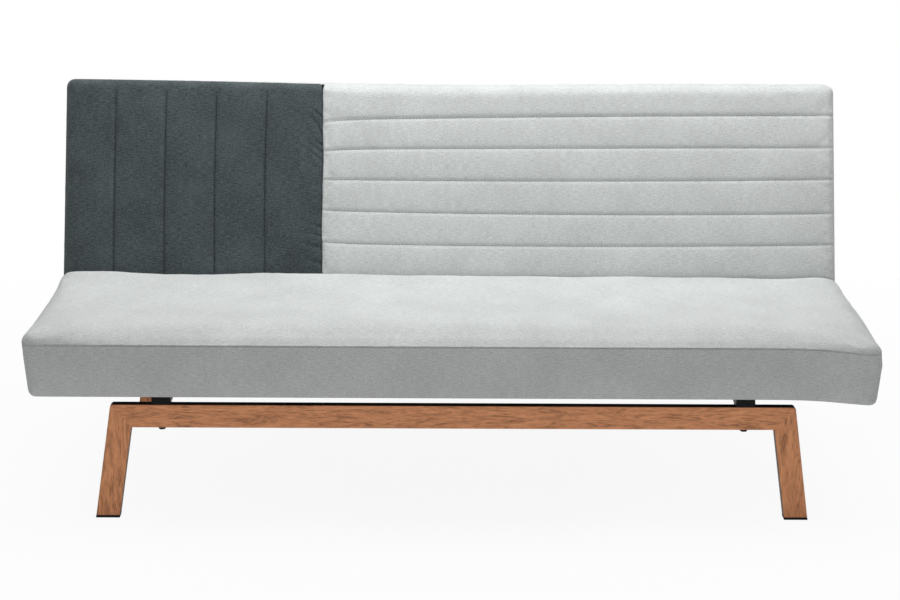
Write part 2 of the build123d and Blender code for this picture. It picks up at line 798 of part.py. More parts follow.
top_rail_bottom = back_core_top - back_timber_width
rail_top = rail_bottom + back_timber_width
stile_half = back_timber_width / 2
inner_half = back_core_half - back_timber_width
top_left = (-back_core_half, top_rail_bottom)
back_timber("backrest_top_rail", top_left, (back_core_half, back_core_top), rail_front)
for side_name, side in SIDES:
    ends = sorted((side * inner_half, side * back_core_half))
    stile_foot = (ends[0], back_core_bottom)
    back_timber(f"backrest_{side_name}_stile", stile_foot, (ends[1], top_rail_bottom), rail_front)
    x = side * hinge_x
    back_timber(
        f"backrest_{side_name}_hinge_stile",
        (x - stile_half, rail_bottom),
        (x + stile_half, top_rail_bottom),
        stile_front,
        [(x, t) for t in arm_screw_places],
    )
    reach = sorted((side * inner_half, side * (hinge_x + stile_half)))
    rail_foot = (reach[0], rail_bottom)
    back_timber(f"backrest_{side_name}_lower_rail", rail_foot, (reach[1], rail_top), rail_front)
middle_reach = hinge_x - stile_half
middle_foot = (-middle_reach, rail_bottom)
back_timber("backrest_middle_lower_rail", middle_foot, (middle_reach, rail_top), rail_front)

with BuildPart() as backrest_webbing:
    with BuildSketch(back_plane.offset(rail_front)):
        with Locations(*[(x, (rail_bottom + back_core_top) / 2) for x in suspension_places]):
            Rectangle(strap_width, back_core_top - rail_bottom)
    extrude(amount=strap_thickness)
write(backrest_webbing, "backrest_webbing")


# Ratchet hinges. Each bracket is bolted to its cross rail and stands in a slot of the back.
def notch(fold):
    """Corners of the ratchet notch that faces the pawl when the back is folded by this angle."""
    here = lock_angle + fold
    floor = ratchet_radius - tooth_depth
    mouth = ratchet_radius + 1
    return [
        polar(floor, here + notch_floor_rear),
        polar(mouth, here + notch_mouth_rear),
        polar(mouth, here - notch_mouth_front),
        polar(floor, here - notch_floor_front),
    ]


pawl_pin = (-pawl_pin_forward, -pawl_pin_below)
notch_floor = ratchet_radius - tooth_depth
pawl_heel = polar(ratchet_radius + pawl_boss_radius, lock_angle + notch_floor_rear)


def boss_point(angle):
    """Point on the rim of the pawl's boss."""
    reach = polar(pawl_boss_radius, angle)
    return (pawl_pin[0] + reach[0], pawl_pin[1] + reach[1])


def lifted(point):
    """Where a point of the seated pawl goes when the pawl is lifted."""
    lift = radians(-pawl_lift)
    u, w = point[0] - pawl_pin[0], point[1] - pawl_pin[1]
    return (pawl_pin[0] + u * cos(lift) - w * sin(lift), pawl_pin[1] + u * sin(lift) + w * cos(lift))


def pawl_outline():
    """Corners of the pawl, seated in the sitting notch."""
    tip = notch_floor + pawl_clearance
    return [
        polar(tip, lock_angle + notch_floor_rear - pawl_slack),
        polar(tip, lock_angle - notch_floor_front + pawl_slack),
        polar(ratchet_radius + pawl_clearance, lock_angle - notch_mouth_front + 2 * pawl_slack),
        boss_point(110),
        boss_point(-70),
        pawl_heel,
    ]


hinge_pin_solids = []
pawl_pin_solids = []
leaf_solids = []
bracket_fasteners = []
arm_fasteners = []


def headed_pin(x, place, radius, head_radius):
    """Pivot pin across a bracket, with a hexagon head or nut outside each cheek."""
    with BuildPart() as pin:
        with BuildSketch(hinge_plane(x)):
            with Locations(place):
                Circle(radius)
        extrude(amount=bracket_half, both=True)
        for outwards in (-1, 1):
            with BuildSketch(hinge_plane(x + outwards * bracket_half)):
                with Locations(place):
                    RegularPolygon(head_radius, 6)
            extrude(amount=outwards * pin_head_height)
    return pin.part


def leaf_spring(x):
    """Bent strip, clamped by the rear bracket bolt, that bears up under the pawl."""
    foot = bracket_base_z + leaf_thickness / 2
    heel, boss = lifted(pawl_heel), lifted(boss_point(-70))
    touch_y = (heel[0] + boss[0]) / 2
    touch_z = (heel[1] + boss[1]) / 2 - leaf_thickness / 2 - 2 * side_clearance
    clamp_place = [(x, pivot_y + bracket_bolt_reach)]
    clamp_hole = shank_hole(clamp_place, bolt_hole_radius, pivot_z, 2 * pivot_below_seat_top)
    with BuildPart() as leaf:
        with BuildSketch(hinge_plane(x - leaf_width / 2)):
            with BuildLine() as line:
                Polyline(
                    (bracket_rear, foot),
                    (leaf_bend, foot),
                    (touch_y, touch_z),
                    (touch_y - leaf_tail, touch_z - leaf_tail / 2),
                )
            trace(line.edges(), line_width=leaf_thickness)
        extrude(amount=leaf_width)
        add(clamp_hole, mode=Mode.SUBTRACT)
    return leaf.part


def arm_screw(x, height):
    """Hexagon-head screw through the arm's flange into the hinge stile."""
    with BuildPart() as screw:
        with BuildSketch(back_plane.offset(flange_front)):
            with Locations((x, height)):
                RegularPolygon(screw_head_radius, 6)
        extrude(amount=screw_head_height)
        with BuildSketch(back_plane.offset(flange_front)):
            with Locations((x, height)):
                RegularPolygon(arm_screw_radius, shank_sides)
        extrude(amount=-arm_screw_length)
    return screw.part


for side_name, side in SIDES:
    x = side * hinge_x
    bolt_places = [(x, pivot_y + s * bracket_bolt_reach) for n, s in SIDES]
    bracket_holes = shank_hole(bolt_places, bolt_hole_radius, pivot_z, 2 * pivot_below_seat_top)
    with BuildPart() as bracket:
        with BuildSketch(hinge_plane(x)):
            with BuildLine():
                Polyline(
                    (cheek_radius, 0),
                    (cheek_radius, -cheek_rear_shoulder),
                    (bracket_rear, bracket_base_z - bracket_plate),
                    (-bracket_front, bracket_base_z - bracket_plate),
                    (-cheek_radius, -cheek_front_shoulder),
                    (-cheek_radius, 0),
                    close=True,
                )
            make_face()
            Circle(cheek_radius)
            Circle(hinge_pin_radius + running_clearance, mode=Mode.SUBTRACT)
            with Locations(pawl_pin):
                Circle(pawl_pin_radius + running_clearance, mode=Mode.SUBTRACT)
        extrude(amount=bracket_half, both=True)
        with BuildSketch(hinge_plane(x)):
            with Locations((0, bracket_base_z)):
                Rectangle(4 * bracket_front, 4 * bracket_front, align=(Align.CENTER, Align.MIN))
        extrude(amount=bracket_gap / 2, both=True, mode=Mode.SUBTRACT)
        add(bracket_holes, mode=Mode.SUBTRACT)
    write(bracket, f"{side_name}_hinge_bracket")

    with BuildPart() as back_arm:
        with BuildSketch(back_section(x)):
            Circle(hub_radius)
            with BuildLine():
                Polyline(
                    (0, hub_radius - 2),
                    (rail_bottom, flange_front + 1),
                    (rail_bottom, stile_front),
                    (0, 2 - hub_radius),
                    close=True,
                )
            make_face()
            Circle(hinge_pin_radius + running_clearance, mode=Mode.SUBTRACT)
        extrude(amount=-arm_plate)
        with BuildSketch(back_section(x - arm_plate)):
            Circle(hub_boss_radius)
            Circle(hinge_pin_radius + running_clearance, mode=Mode.SUBTRACT)
        extrude(amount=arm_plate - hub_reach)
        with BuildSketch(back_plane.offset(stile_front)):
            with Locations((x, (arm_flange_bottom + arm_flange_top) / 2)):
                Rectangle(arm_flange_width, arm_flange_top - arm_flange_bottom)
            with Locations(*[(x, t) for t in arm_screw_places]):
                RegularPolygon(arm_screw_radius + running_clearance, shank_sides, mode=Mode.SUBTRACT)
        extrude(amount=arm_plate)
    write(back_arm, f"{side_name}_back_arm")

    with BuildPart() as ratchet:
        with BuildSketch(hinge_plane(x)):
            Circle(hub_radius)
            start_angle = lock_angle + fold_release - sector_margin
            end_angle = lock_angle + fold_flat + sector_margin
            with BuildLine():
                rim = CenterArc((0, 0), ratchet_radius, start_angle, end_angle - start_angle)
                Polyline(rim @ 1, (0, 0), rim @ 0)
            make_face()
            for fold in (fold_release, 0, fold_lounge, fold_flat):
                with BuildLine():
                    Polyline(*notch(fold), close=True)
                make_face(mode=Mode.SUBTRACT)
            Circle(hinge_pin_radius + running_clearance, mode=Mode.SUBTRACT)
        extrude(amount=ratchet_plate)
        with BuildSketch(hinge_plane(x + ratchet_plate)):
            Circle(hub_boss_radius)
            Circle(hinge_pin_radius + running_clearance, mode=Mode.SUBTRACT)
        extrude(amount=hub_reach - ratchet_plate)
    write(ratchet, f"{side_name}_ratchet")

    with BuildPart() as pawl:
        with BuildSketch(hinge_plane(x + side_clearance)):
            with BuildLine():
                Polyline(*pawl_outline(), close=True)
            make_face()
            with Locations(pawl_pin):
                Circle(pawl_boss_radius)
                Circle(pawl_pin_radius + running_clearance, mode=Mode.SUBTRACT)
        extrude(amount=ratchet_plate - 2 * side_clearance)
    pawl_axis = Axis(pivot + Vector(x, pawl_pin[0], pawl_pin[1]), (1, 0, 0))
    pawl.part = pawl.part.rotate(pawl_axis, -pawl_lift)
    write(pawl, f"{side_name}_pawl")

    hinge_pin_solids.append(headed_pin(x, (0, 0), hinge_pin_radius, pin_head_radius))
    pawl_pin_solids.append(headed_pin(x, pawl_pin, pawl_pin_radius, pawl_boss_radius - 2))
    leaf_solids.append(leaf_spring(x))
    base_z = pivot_z + bracket_base_z
    bolt_low = frame_height - bolt_nut_height - bolt_end
    for y, seat_z in (
        (pivot_y - bracket_bolt_reach, base_z),
        (pivot_y + bracket_bolt_reach, base_z + leaf_thickness),
    ):
        bracket_fasteners += [hex_bolt(x, y, seat_z, bolt_low), hex_nut(x, y, frame_height, -1)]
    arm_fasteners += [arm_screw(x, height) for height in arm_screw_places]

with BuildPart() as hinge_pins:
    add(hinge_pin_solids)
write(hinge_pins, "hinge_pins")
with BuildPart() as pawl_pins:
    add(pawl_pin_solids)
write(pawl_pins, "pawl_pins")
with BuildPart() as pawl_springs:
    add(leaf_solids)
write(pawl_springs, "pawl_springs")
with BuildPart() as bracket_bolts:
    add(bracket_fasteners)
write(bracket_bolts, "bracket_bolts")
with BuildPart() as arm_screws:
    add(arm_fasteners)
write(arm_screws, "arm_screws")
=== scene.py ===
import json
import math

import bpy
import numpy as np
from bpy.props import FloatProperty, FloatVectorProperty, IntProperty, PointerProperty
from mathutils import Matrix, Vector
from mathutils.kdtree import KDTree


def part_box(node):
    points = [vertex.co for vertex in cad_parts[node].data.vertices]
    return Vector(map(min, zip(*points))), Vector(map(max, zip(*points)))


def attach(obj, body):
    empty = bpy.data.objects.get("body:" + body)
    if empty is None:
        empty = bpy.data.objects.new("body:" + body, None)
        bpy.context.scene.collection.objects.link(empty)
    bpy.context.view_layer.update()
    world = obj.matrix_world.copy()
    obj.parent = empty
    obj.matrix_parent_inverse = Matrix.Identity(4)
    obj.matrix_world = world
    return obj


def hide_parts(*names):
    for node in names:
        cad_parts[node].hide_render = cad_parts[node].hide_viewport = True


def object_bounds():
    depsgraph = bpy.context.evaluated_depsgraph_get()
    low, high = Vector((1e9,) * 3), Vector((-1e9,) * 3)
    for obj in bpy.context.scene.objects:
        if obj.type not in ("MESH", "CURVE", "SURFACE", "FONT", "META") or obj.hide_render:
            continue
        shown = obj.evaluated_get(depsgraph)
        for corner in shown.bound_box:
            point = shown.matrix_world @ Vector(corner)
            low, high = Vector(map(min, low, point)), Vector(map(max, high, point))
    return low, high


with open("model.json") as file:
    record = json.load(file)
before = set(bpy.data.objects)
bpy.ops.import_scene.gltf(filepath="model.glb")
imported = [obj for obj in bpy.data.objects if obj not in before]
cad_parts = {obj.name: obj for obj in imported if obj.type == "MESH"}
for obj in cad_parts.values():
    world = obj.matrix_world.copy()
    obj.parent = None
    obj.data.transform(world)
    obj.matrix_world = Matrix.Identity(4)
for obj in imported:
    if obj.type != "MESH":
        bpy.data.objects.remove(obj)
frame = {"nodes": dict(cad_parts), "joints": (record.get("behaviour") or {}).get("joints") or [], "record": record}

bl_info = {
    "name": "Sofa Bed Upholstery",
    "version": (1, 0, 0),
    "blender": (4, 5, 0),
    "location": "View3D > Sidebar > Sofa Bed",
    "description": "Sews the covers of an armless sofa bed over its frame and finishes every piece",
    "category": "Object",
}

CAD_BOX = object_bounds()
NODES = frame["nodes"]
FOLD = next(joint for joint in frame["joints"] if joint["name"] == "backrest_fold")
HINGE = np.array((0.0, *FOLD["pos_m"][1:]))
LEAN = math.radians(90 - FOLD["range_deg"][1])
# The backrest is drawn in its own directions: x, up along the back, and out of its front face.
BACK_UP = np.array((0.0, math.sin(LEAN), math.cos(LEAN)))
BACK_OUT = np.array((0.0, -math.cos(LEAN), math.sin(LEAN)))
WORLD_UP = np.array((0.0, 0.0, 1.0))


def back_place(x, up, out):
    """Points of the backrest, given across, up along the back and out of its face, in the frame."""
    x, up, out = np.broadcast_arrays(x, up, out)
    across = np.stack([x, np.zeros_like(x), np.zeros_like(x)], axis=-1)
    return across + HINGE + up[..., None] * BACK_UP + out[..., None] * BACK_OUT


def back_reading(points):
    """The same three measures, read from points in the frame."""
    from_hinge = points - HINGE
    return points[:, 0], from_hinge @ BACK_UP, from_hinge @ BACK_OUT


def node_points(*names):
    """The corner points of CAD nodes."""
    return np.array([v.co for name in names for v in NODES[name].data.vertices], float)


SEAT_LOW, SEAT_HIGH = (np.array(corner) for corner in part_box("seat_pad"))
BAND_LOW, BAND_HIGH = (np.array(corner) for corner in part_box("seat_front_band"))
PALE_X, _, PALE_OUT = back_reading(node_points("backrest_light_pad"))
DARK_X = back_reading(node_points("backrest_dark_pad"))[0]
EDGE_X, EDGE_UP, EDGE_OUT = back_reading(node_points(
    "backrest_top_band", "backrest_bottom_band", "backrest_left_band", "backrest_right_band"))
DARK_END, JOINT, PALE_END = DARK_X.min(), DARK_X.max(), PALE_X.max()
BACK_LEFT, BACK_RIGHT = EDGE_X.min(), EDGE_X.max()
BACK_BOTTOM, BACK_TOP = EDGE_UP.min(), EDGE_UP.max()
BACK_REAR, BACK_FACE = EDGE_OUT.min(), PALE_OUT.max()


def metres(name, description, default):
    """A length that a user can change."""
    return FloatProperty(name=name, description=description, default=default, unit="LENGTH")


def swatch(name, description, default):
    """A colour that a user can change."""
    return FloatVectorProperty(
        name=name, description=description, default=default, subtype="COLOR", size=3)


class SeatSizes(bpy.types.PropertyGroup):
    """Sizes of the seat cover."""
    plan_radius: metres("Corner radius", "Radius of the seat's corners seen from above", 0.032)
    edge_radius: metres("Edge radius", "Radius of the rounded edge above the seam", 0.021)
    cell: metres("Cloth cell", "Spacing of the cloth before it is smoothed", 0.009)
    crown: metres("Crown", "Most that the filling lifts the top between its edges", 0.013)
    corner_droop: metres("Corner droop", "How far the cover sags at the right front corner", 0.012)
    corner_ease: metres("Corner ease", "How far the top of that corner has rounded in", 0.009)
    end_draw_in: metres("End draw-in", "How far the band leans in under the seat's ends", 0.012)
    front_draw_in: metres(
        "Front draw-in", "How far the band leans in under the seat's front", 0.005)
    rear_undercut: metres("Rear undercut", "How far the band is cut back low at the rear", 0.015)
    undercut_height: metres("Undercut height", "Height of that cut from the band's bottom", 0.048)
    turn_under: metres("Turn under", "How far the band is pulled under the seat", 0.022)


class BackSizes(bpy.types.PropertyGroup):
    """Sizes of the backrest cover."""
    edge_radius: metres("Edge radius", "Radius of the rounded edge round the panels", 0.020)
    joint_radius: metres("Joint radius", "Radius where the two panels are sewn together", 0.006)
    panel_rise: metres("Panel rise", "Height of the sewn lines over the band's seam", 0.0155)
    level_channels: IntProperty(
        name="Level channels", description="Channels on the pale panel", default=7)
    upright_channels: IntProperty(
        name="Upright channels", description="Channels on the dark panel", default=5)
    upright_width: metres("Upright width", "Width of an upright channel from the outer end", 0.1175)
    cell: metres("Cloth cell", "Spacing of the cloth before it is smoothed", 0.0068)
    seam_depth: metres("Seam depth", "Depth of the pulled thread below its channel's foot", 0.0032)
    upright_depth: metres(
        "Upright seam depth", "Depth of the pulled thread on the dark panel", 0.0066)
    upright_start: metres(
        "Upright start", "How far below the top edge the upright lines begin", 0.026)
    upright_bow: metres("Upright bow", "How far the upright lines bow towards the outer end", 0.006)
    seam_drop: metres(
        "Seam drop", "How far the panels' top seam has slipped below the band", 0.0035)
    seam_width: metres("Seam width", "Half width of the furrow along a sewn line", 0.0026)
    puff: metres("Channel puff", "Most that a channel rises between its seams", 0.0028)
    band_swell: metres("Band swell", "How far the top band stands above the panels' edge", 0.005)
    stitch_length: metres("Stitch length", "Length of one stitch of the quilting thread", 0.0058)
    stitch_pitch: metres("Stitch pitch", "Distance from one stitch to the next", 0.0080)
    thread: metres("Thread", "Thickness of the quilting thread", 0.0012)
    top_dip: metres("Top dip", "How far the top edge has sunk by its middle", 0.007)
    dip_reach: metres("Dip reach", "How far that dip spreads to each side", 0.42)
    hinge_slot_reach: metres(
        "Hinge slot reach", "How far forward the hinge slots run in the band", 0.037)
    hinge_slot_room: metres("Hinge slot room", "Room beside each hinge bracket in its slot", 0.005)


class Finishes(bpy.types.PropertyGroup):
    """Colours of the finishes."""
    pale: swatch("Pale cloth", "Mean colour of the pale melange cloth", (0.664, 0.688, 0.680))
    dark: swatch("Dark cloth", "Mean colour of the dark melange cloth", (0.070, 0.088, 0.092))
    wood: swatch("Wood print", "Mean colour of the printed wood grain", (0.820, 0.352, 0.168))
    # This colour is also laid on the frame's top, bottom and side faces, where it is partly painted shade.
    black: swatch("Black coat", "Colour of the black powder coat", (0.006, 0.006, 0.0065))
    lining: swatch("Lining", "Colour of the spun cloth behind and under", (0.020, 0.020, 0.022))
    pine: swatch("Pine", "Mean colour of the sawn timber inside", (0.520, 0.330, 0.170))


def sizes(group):
    """The property group of that name in the scene."""
    return getattr(bpy.context.scene, group)


def points_of(piece):
    """A piece's points as an array."""
    flat = np.empty(len(piece.data.vertices) * 3)
    piece.data.vertices.foreach_get("co", flat)
    return flat.reshape(-1, 3)


def set_points(piece, points):
    """Moves a piece's points."""
    piece.data.vertices.foreach_set("co", np.ascontiguousarray(points).ravel())
    piece.data.update()


def ripple(place, waves):
    """A fixed gentle unevenness: a sum of waves, each with its height, length and start."""
    return sum(height * np.sin(2 * np.pi * place / length + start)
               for height, length, start in waves)


def bell(distance, reach):
    """One at a place, falling off smoothly to each side of it."""
    return np.exp(-(distance / reach) ** 2)


def fade(distance, reach):
    """One at a place, dying away from it."""
    return np.exp(-distance / reach)


def grow(distance, reach):
    """Nought up to a place, growing evenly to one over a reach from it."""
    return np.clip(distance / reach, 0, 1)


def active(piece):
    """Makes one piece the only selected one."""
    bpy.ops.object.select_all(action="DESELECT")
    piece.select_set(True)
    bpy.context.view_layer.objects.active = piece


def in_edit_mode(*steps):
    """Runs edit-mode steps on the active piece and comes back to object mode."""
    bpy.ops.object.mode_set(mode="EDIT")
    for step in steps:
        step()
    bpy.ops.object.mode_set(mode="OBJECT")


def adjust(thing, settings):
    """Gives a thing its settings."""
    for key, value in settings.items():
        setattr(thing, key, value)


def apply_modifier(piece, name, kind, **settings):
    """Adds a modifier with its settings to a piece and applies it."""
    active(piece)
    modifier = piece.modifiers.new(name, kind)
    adjust(modifier, settings)
    bpy.ops.object.modifier_apply(modifier=modifier.name)


EDGE_CELLS = 6


def edge_stations(low, high, low_turn, high_turn, stops, cell, turn_cells=EDGE_CELLS):
    """Stations across a panel: a rounded edge at each end and even steps that meet each stop.
    Returns each station's flat place, the sine of its turn over the edge and the turn's radius."""
    quarter = np.sin(np.linspace(0, np.pi / 2, turn_cells + 1))[1:]
    marks = [low + low_turn, *stops, high - high_turn]
    flat = [marks[0]]
    for start, end in zip(marks, marks[1:]):
        count = max(1, round((end - start) / cell))
        flat.extend(start + (end - start) * (k + 1) / count for k in range(count))
    level = np.zeros(len(flat))
    core = np.concatenate([np.full(turn_cells, marks[0]), flat, np.full(turn_cells, marks[-1])])
    sine = np.concatenate([-quarter[::-1], level, quarter])
    radius = np.concatenate([np.full(turn_cells, low_turn), level, np.full(turn_cells, high_turn)])
    return core, sine, radius


def rounded_panel(across, along, round_over):
    """Plan places and the fall from the top of a panel whose edges and corners are rounded over."""
    core_a, sine_a, radius_a = (part[:, None] for part in across)
    core_b, sine_b, radius_b = (part[None, :] for part in along)
    lean_a = sine_a * np.sqrt(1 - sine_b ** 2 / 2)
    lean_b = sine_b * np.sqrt(1 - sine_a ** 2 / 2)
    reach = np.hypot(lean_a, lean_b)
    turn = (radius_a * lean_a ** 2 + radius_b * lean_b ** 2) / np.maximum(reach ** 2, 1e-9)
    over = np.minimum(turn, round_over)
    beyond = np.clip(turn * reach - (turn - over), 0, None)
    fall = over - np.sqrt(np.clip(over ** 2 - beyond ** 2, 0, None))
    return core_a + radius_a * lean_a, core_b + radius_b * lean_b, fall


def run_along(places):
    """The length run from the first of a row of places to each of them."""
    return np.concatenate([[0], np.cumsum(np.linalg.norm(np.diff(places, axis=0), axis=1))])


def cloth_piece(name, shape):
    """A grid of cloth laid on an array of places, with its own lengths as its cloth coordinates.
    Returns the piece and each point's row and column in the array."""
    count_a, count_b = shape.shape[:2]
    bpy.ops.object.select_all(action="DESELECT")
    bpy.ops.mesh.primitive_grid_add(
        x_subdivisions=count_a - 1, y_subdivisions=count_b - 1, size=2)
    piece = bpy.context.active_object
    piece.name = piece.data.name = name
    place = points_of(piece)
    a = np.rint((place[:, 0] + 1) / 2 * (count_a - 1)).astype(int)
    b = np.rint((place[:, 1] + 1) / 2 * (count_b - 1)).astype(int)
    set_points(piece, shape[a, b])
    length_a, length_b = run_along(shape[:, count_b // 2]), run_along(shape[count_a // 2])
    corner = np.empty(len(piece.data.loops), int)
    piece.data.loops.foreach_get("vertex_index", corner)
    cloth = np.stack([length_a[a[corner]], length_b[b[corner]]], axis=1)
    piece.data.uv_layers.active.data.foreach_set("uv", cloth.ravel())
    return piece, a, b


def on_rim(a, b):
    """Which points of a grid lie on its open edge."""
    return (a == 0) | (a == a.max()) | (b == 0) | (b == b.max())


def sew(piece, held):
    """Marks the points that thread or staples hold."""
    group = piece.vertex_groups.new(name="sewn")
    group.add([int(i) for i in np.flatnonzero(held)], 1.0, "REPLACE")


def close_behind(piece, place_behind):
    """Turns a panel's open edge in behind it and closes the back."""
    active(piece)
    count = len(piece.data.vertices)
    in_edit_mode(
        lambda: bpy.ops.mesh.select_mode(type="EDGE"),
        lambda: bpy.ops.mesh.select_all(action="DESELECT"),
        lambda: bpy.ops.mesh.select_non_manifold(),
        lambda: bpy.ops.mesh.extrude_edges_move(),
        lambda: bpy.ops.mesh.edge_face_add(),
    )
    points = points_of(piece)
    points[count:] = place_behind(points[count:])
    set_points(piece, points)
    in_edit_mode(
        lambda: bpy.ops.mesh.select_all(action="SELECT"),
        lambda: bpy.ops.mesh.normals_make_consistent(inside=False),
    )


def face_outwards(piece, outward):
    """Turns a piece's faces so that they look along the outward direction of their own place."""
    def reading(kind):
        flat = np.empty(len(piece.data.polygons) * 3)
        piece.data.polygons.foreach_get(kind, flat)
        return flat.reshape(-1, 3)

    agree = np.sum(reading("normal") * outward(reading("center")), axis=1)
    if np.mean(agree) < 0:
        active(piece)
        in_edit_mode(
            lambda: bpy.ops.mesh.select_all(action="SELECT"),
            lambda: bpy.ops.mesh.flip_normals(),
        )


CLOTH = {
    "quality": 4, "mass": 0.01,
    "tension_stiffness": 12, "compression_stiffness": 12,
    "shear_stiffness": 4, "bending_stiffness": 0.4,
    "tension_damping": 20, "compression_damping": 20, "air_damping": 4,
    "use_pressure": True, "vertex_group_mass": "sewn",
}
FILLING_STEPS = 20


def fill_with_wadding(piece, pressure, ease, most):
    """Lets the filling press a sewn cover out, with ease in the cloth, by no more than a limit."""
    active(piece)
    flat = points_of(piece)
    cloth = piece.modifiers.new("Filling", "CLOTH")
    adjust(cloth.settings, CLOTH)
    cloth.settings.uniform_pressure_force = pressure
    cloth.settings.shrink_min = -ease
    cloth.settings.effector_weights.gravity = 0
    cloth.collision_settings.use_collision = False
    cloth.collision_settings.use_self_collision = False
    cloth.point_cache.frame_start = 1
    cloth.point_cache.frame_end = FILLING_STEPS
    for step in range(1, FILLING_STEPS + 1):
        bpy.context.scene.frame_set(step)
    bpy.ops.object.modifier_apply(modifier=cloth.name)
    bpy.context.scene.frame_set(1)
    moved = points_of(piece) - flat
    length = np.linalg.norm(moved, axis=1, keepdims=True)
    soft_limit = most * np.tanh(length / most)
    set_points(piece, flat + moved * soft_limit / np.maximum(length, 1e-9))


def smooth_cloth(piece):
    """One subdivision of a cover and smooth shading."""
    apply_modifier(piece, "Smooth", "SUBSURF", levels=1, render_levels=1)
    piece.data.polygons.foreach_set("use_smooth", np.ones(len(piece.data.polygons), bool))


def back_cloth(piece, thickness):
    """Thickens a cover inwards."""
    apply_modifier(piece, "Backing", "SOLIDIFY", thickness=thickness, offset=-1)


def add_node(owner, kind, inputs=None, **settings):
    """Adds a shader node with its settings; an input is a value or another node's socket."""
    node = owner.node_tree.nodes.new(kind)
    adjust(node, settings)
    for key, value in (inputs or {}).items():
        if isinstance(value, bpy.types.NodeSocket):
            owner.node_tree.links.new(value, node.inputs[key])
        else:
            node.inputs[key].default_value = value
    return node


def calculate(owner, operation, first, second=0.0):
    """A math node's result."""
    node = add_node(owner, "ShaderNodeMath", {0: first, 1: second}, operation=operation)
    return node.outputs[0]


def shade(colour, share):
    """A colour made lighter or darker by a share."""
    return tuple(min(1.0, part * share) for part in colour)


def colour_ramp(material, factor, colour, stops):
    """A colour ramp's result: each stop is its place and its share of the colour."""
    node = add_node(material, "ShaderNodeValToRGB", {"Fac": factor})
    ramp = node.color_ramp
    while len(ramp.elements) < len(stops):
        ramp.elements.new(0.5)
    for element, (place, share) in zip(ramp.elements, stops):
        element.position = place
        element.color = (*shade(colour, share), 1.0)
    return node.outputs["Color"]


def new_finish(name, roughness, specular=0.5, metallic=0.0):
    """A new node material and its shader, with the values that are the same all over."""
    material = bpy.data.materials.new(name)
    material.use_nodes = True
    shader = material.node_tree.nodes["Principled BSDF"]
    shader.inputs["Roughness"].default_value = roughness
    shader.inputs["Specular IOR Level"].default_value = specular
    shader.inputs["Metallic"].default_value = metallic
    return material, shader


def plug_in(material, shader, colour, height, strength, depth):
    """Joins a colour and a bump height to the shader."""
    links = material.node_tree.links
    links.new(colour, shader.inputs["Base Color"])
    bump = add_node(material, "ShaderNodeBump", {
        "Height": height, "Strength": strength, "Distance": depth})
    links.new(bump.outputs["Normal"], shader.inputs["Normal"])


def solid_place(material):
    """The place on a piece in its own directions."""
    return add_node(material, "ShaderNodeTexCoord").outputs["Object"]


def noise(material, place, stretch, detail=2.0, roughness=0.5, distortion=0.0, turn=(0, 0, 0)):
    """Noise stretched along the axes: stretch is how many grains lie along each metre."""
    mapped = add_node(material, "ShaderNodeMapping", {
        "Vector": place, "Scale": stretch, "Rotation": turn})
    node = add_node(material, "ShaderNodeTexNoise", {
        "Vector": mapped.outputs["Vector"], "Scale": 1.0, "Detail": detail,
        "Roughness": roughness, "Distortion": distortion})
    return node.outputs["Fac"]


THREAD_WIDTH = 0.0011
WEFT_GRAINS, WARP_GRAINS = (70, 560, 1), (230, 560, 1)
BROAD_SHARE = 0.18


def melange_cloth(name, colour, contrast):
    """Plain-woven melange: flecked weft and warp threads that pass over and under each other."""
    material, shader = new_finish(name, roughness=0.92, specular=0.2)
    shader.inputs["Sheen Weight"].default_value = 0.12
    shader.inputs["Sheen Roughness"].default_value = 0.6
    cloth = add_node(material, "ShaderNodeUVMap").outputs["UV"]
    weft = noise(material, cloth, WEFT_GRAINS, detail=3.0, roughness=0.7)
    warp = noise(material, cloth, WARP_GRAINS, detail=3.0, roughness=0.7)
    along = add_node(material, "ShaderNodeSeparateXYZ", {"Vector": cloth}).outputs
    over, under = (
        calculate(material, "SINE",
                  calculate(material, "MULTIPLY", along[axis], math.pi / THREAD_WIDTH))
        for axis in ("X", "Y"))
    weave = calculate(material, "MULTIPLY", over, under)
    on_top = calculate(material, "GREATER_THAN", weave, 0.0)
    fleck = add_node(
        material, "ShaderNodeMix", {0: on_top, 2: weft, 3: warp}, data_type="FLOAT").outputs[0]
    broad = noise(material, solid_place(material), (9, 9, 9), detail=4.0, roughness=0.6)
    tone = calculate(material, "ADD", fleck, calculate(material, "MULTIPLY", broad, BROAD_SHARE))
    dyed = colour_ramp(material, tone, colour, (
        (0.38, 1 - contrast), (0.56, 1 - 0.3 * contrast),
        (0.66, 1 + 0.3 * contrast), (0.82, 1 + contrast)))
    height = calculate(material, "ADD", weave, fleck)
    plug_in(material, shader, dyed, height, strength=0.35, depth=0.0004)
    return material


PORE_SHARE = 0.5


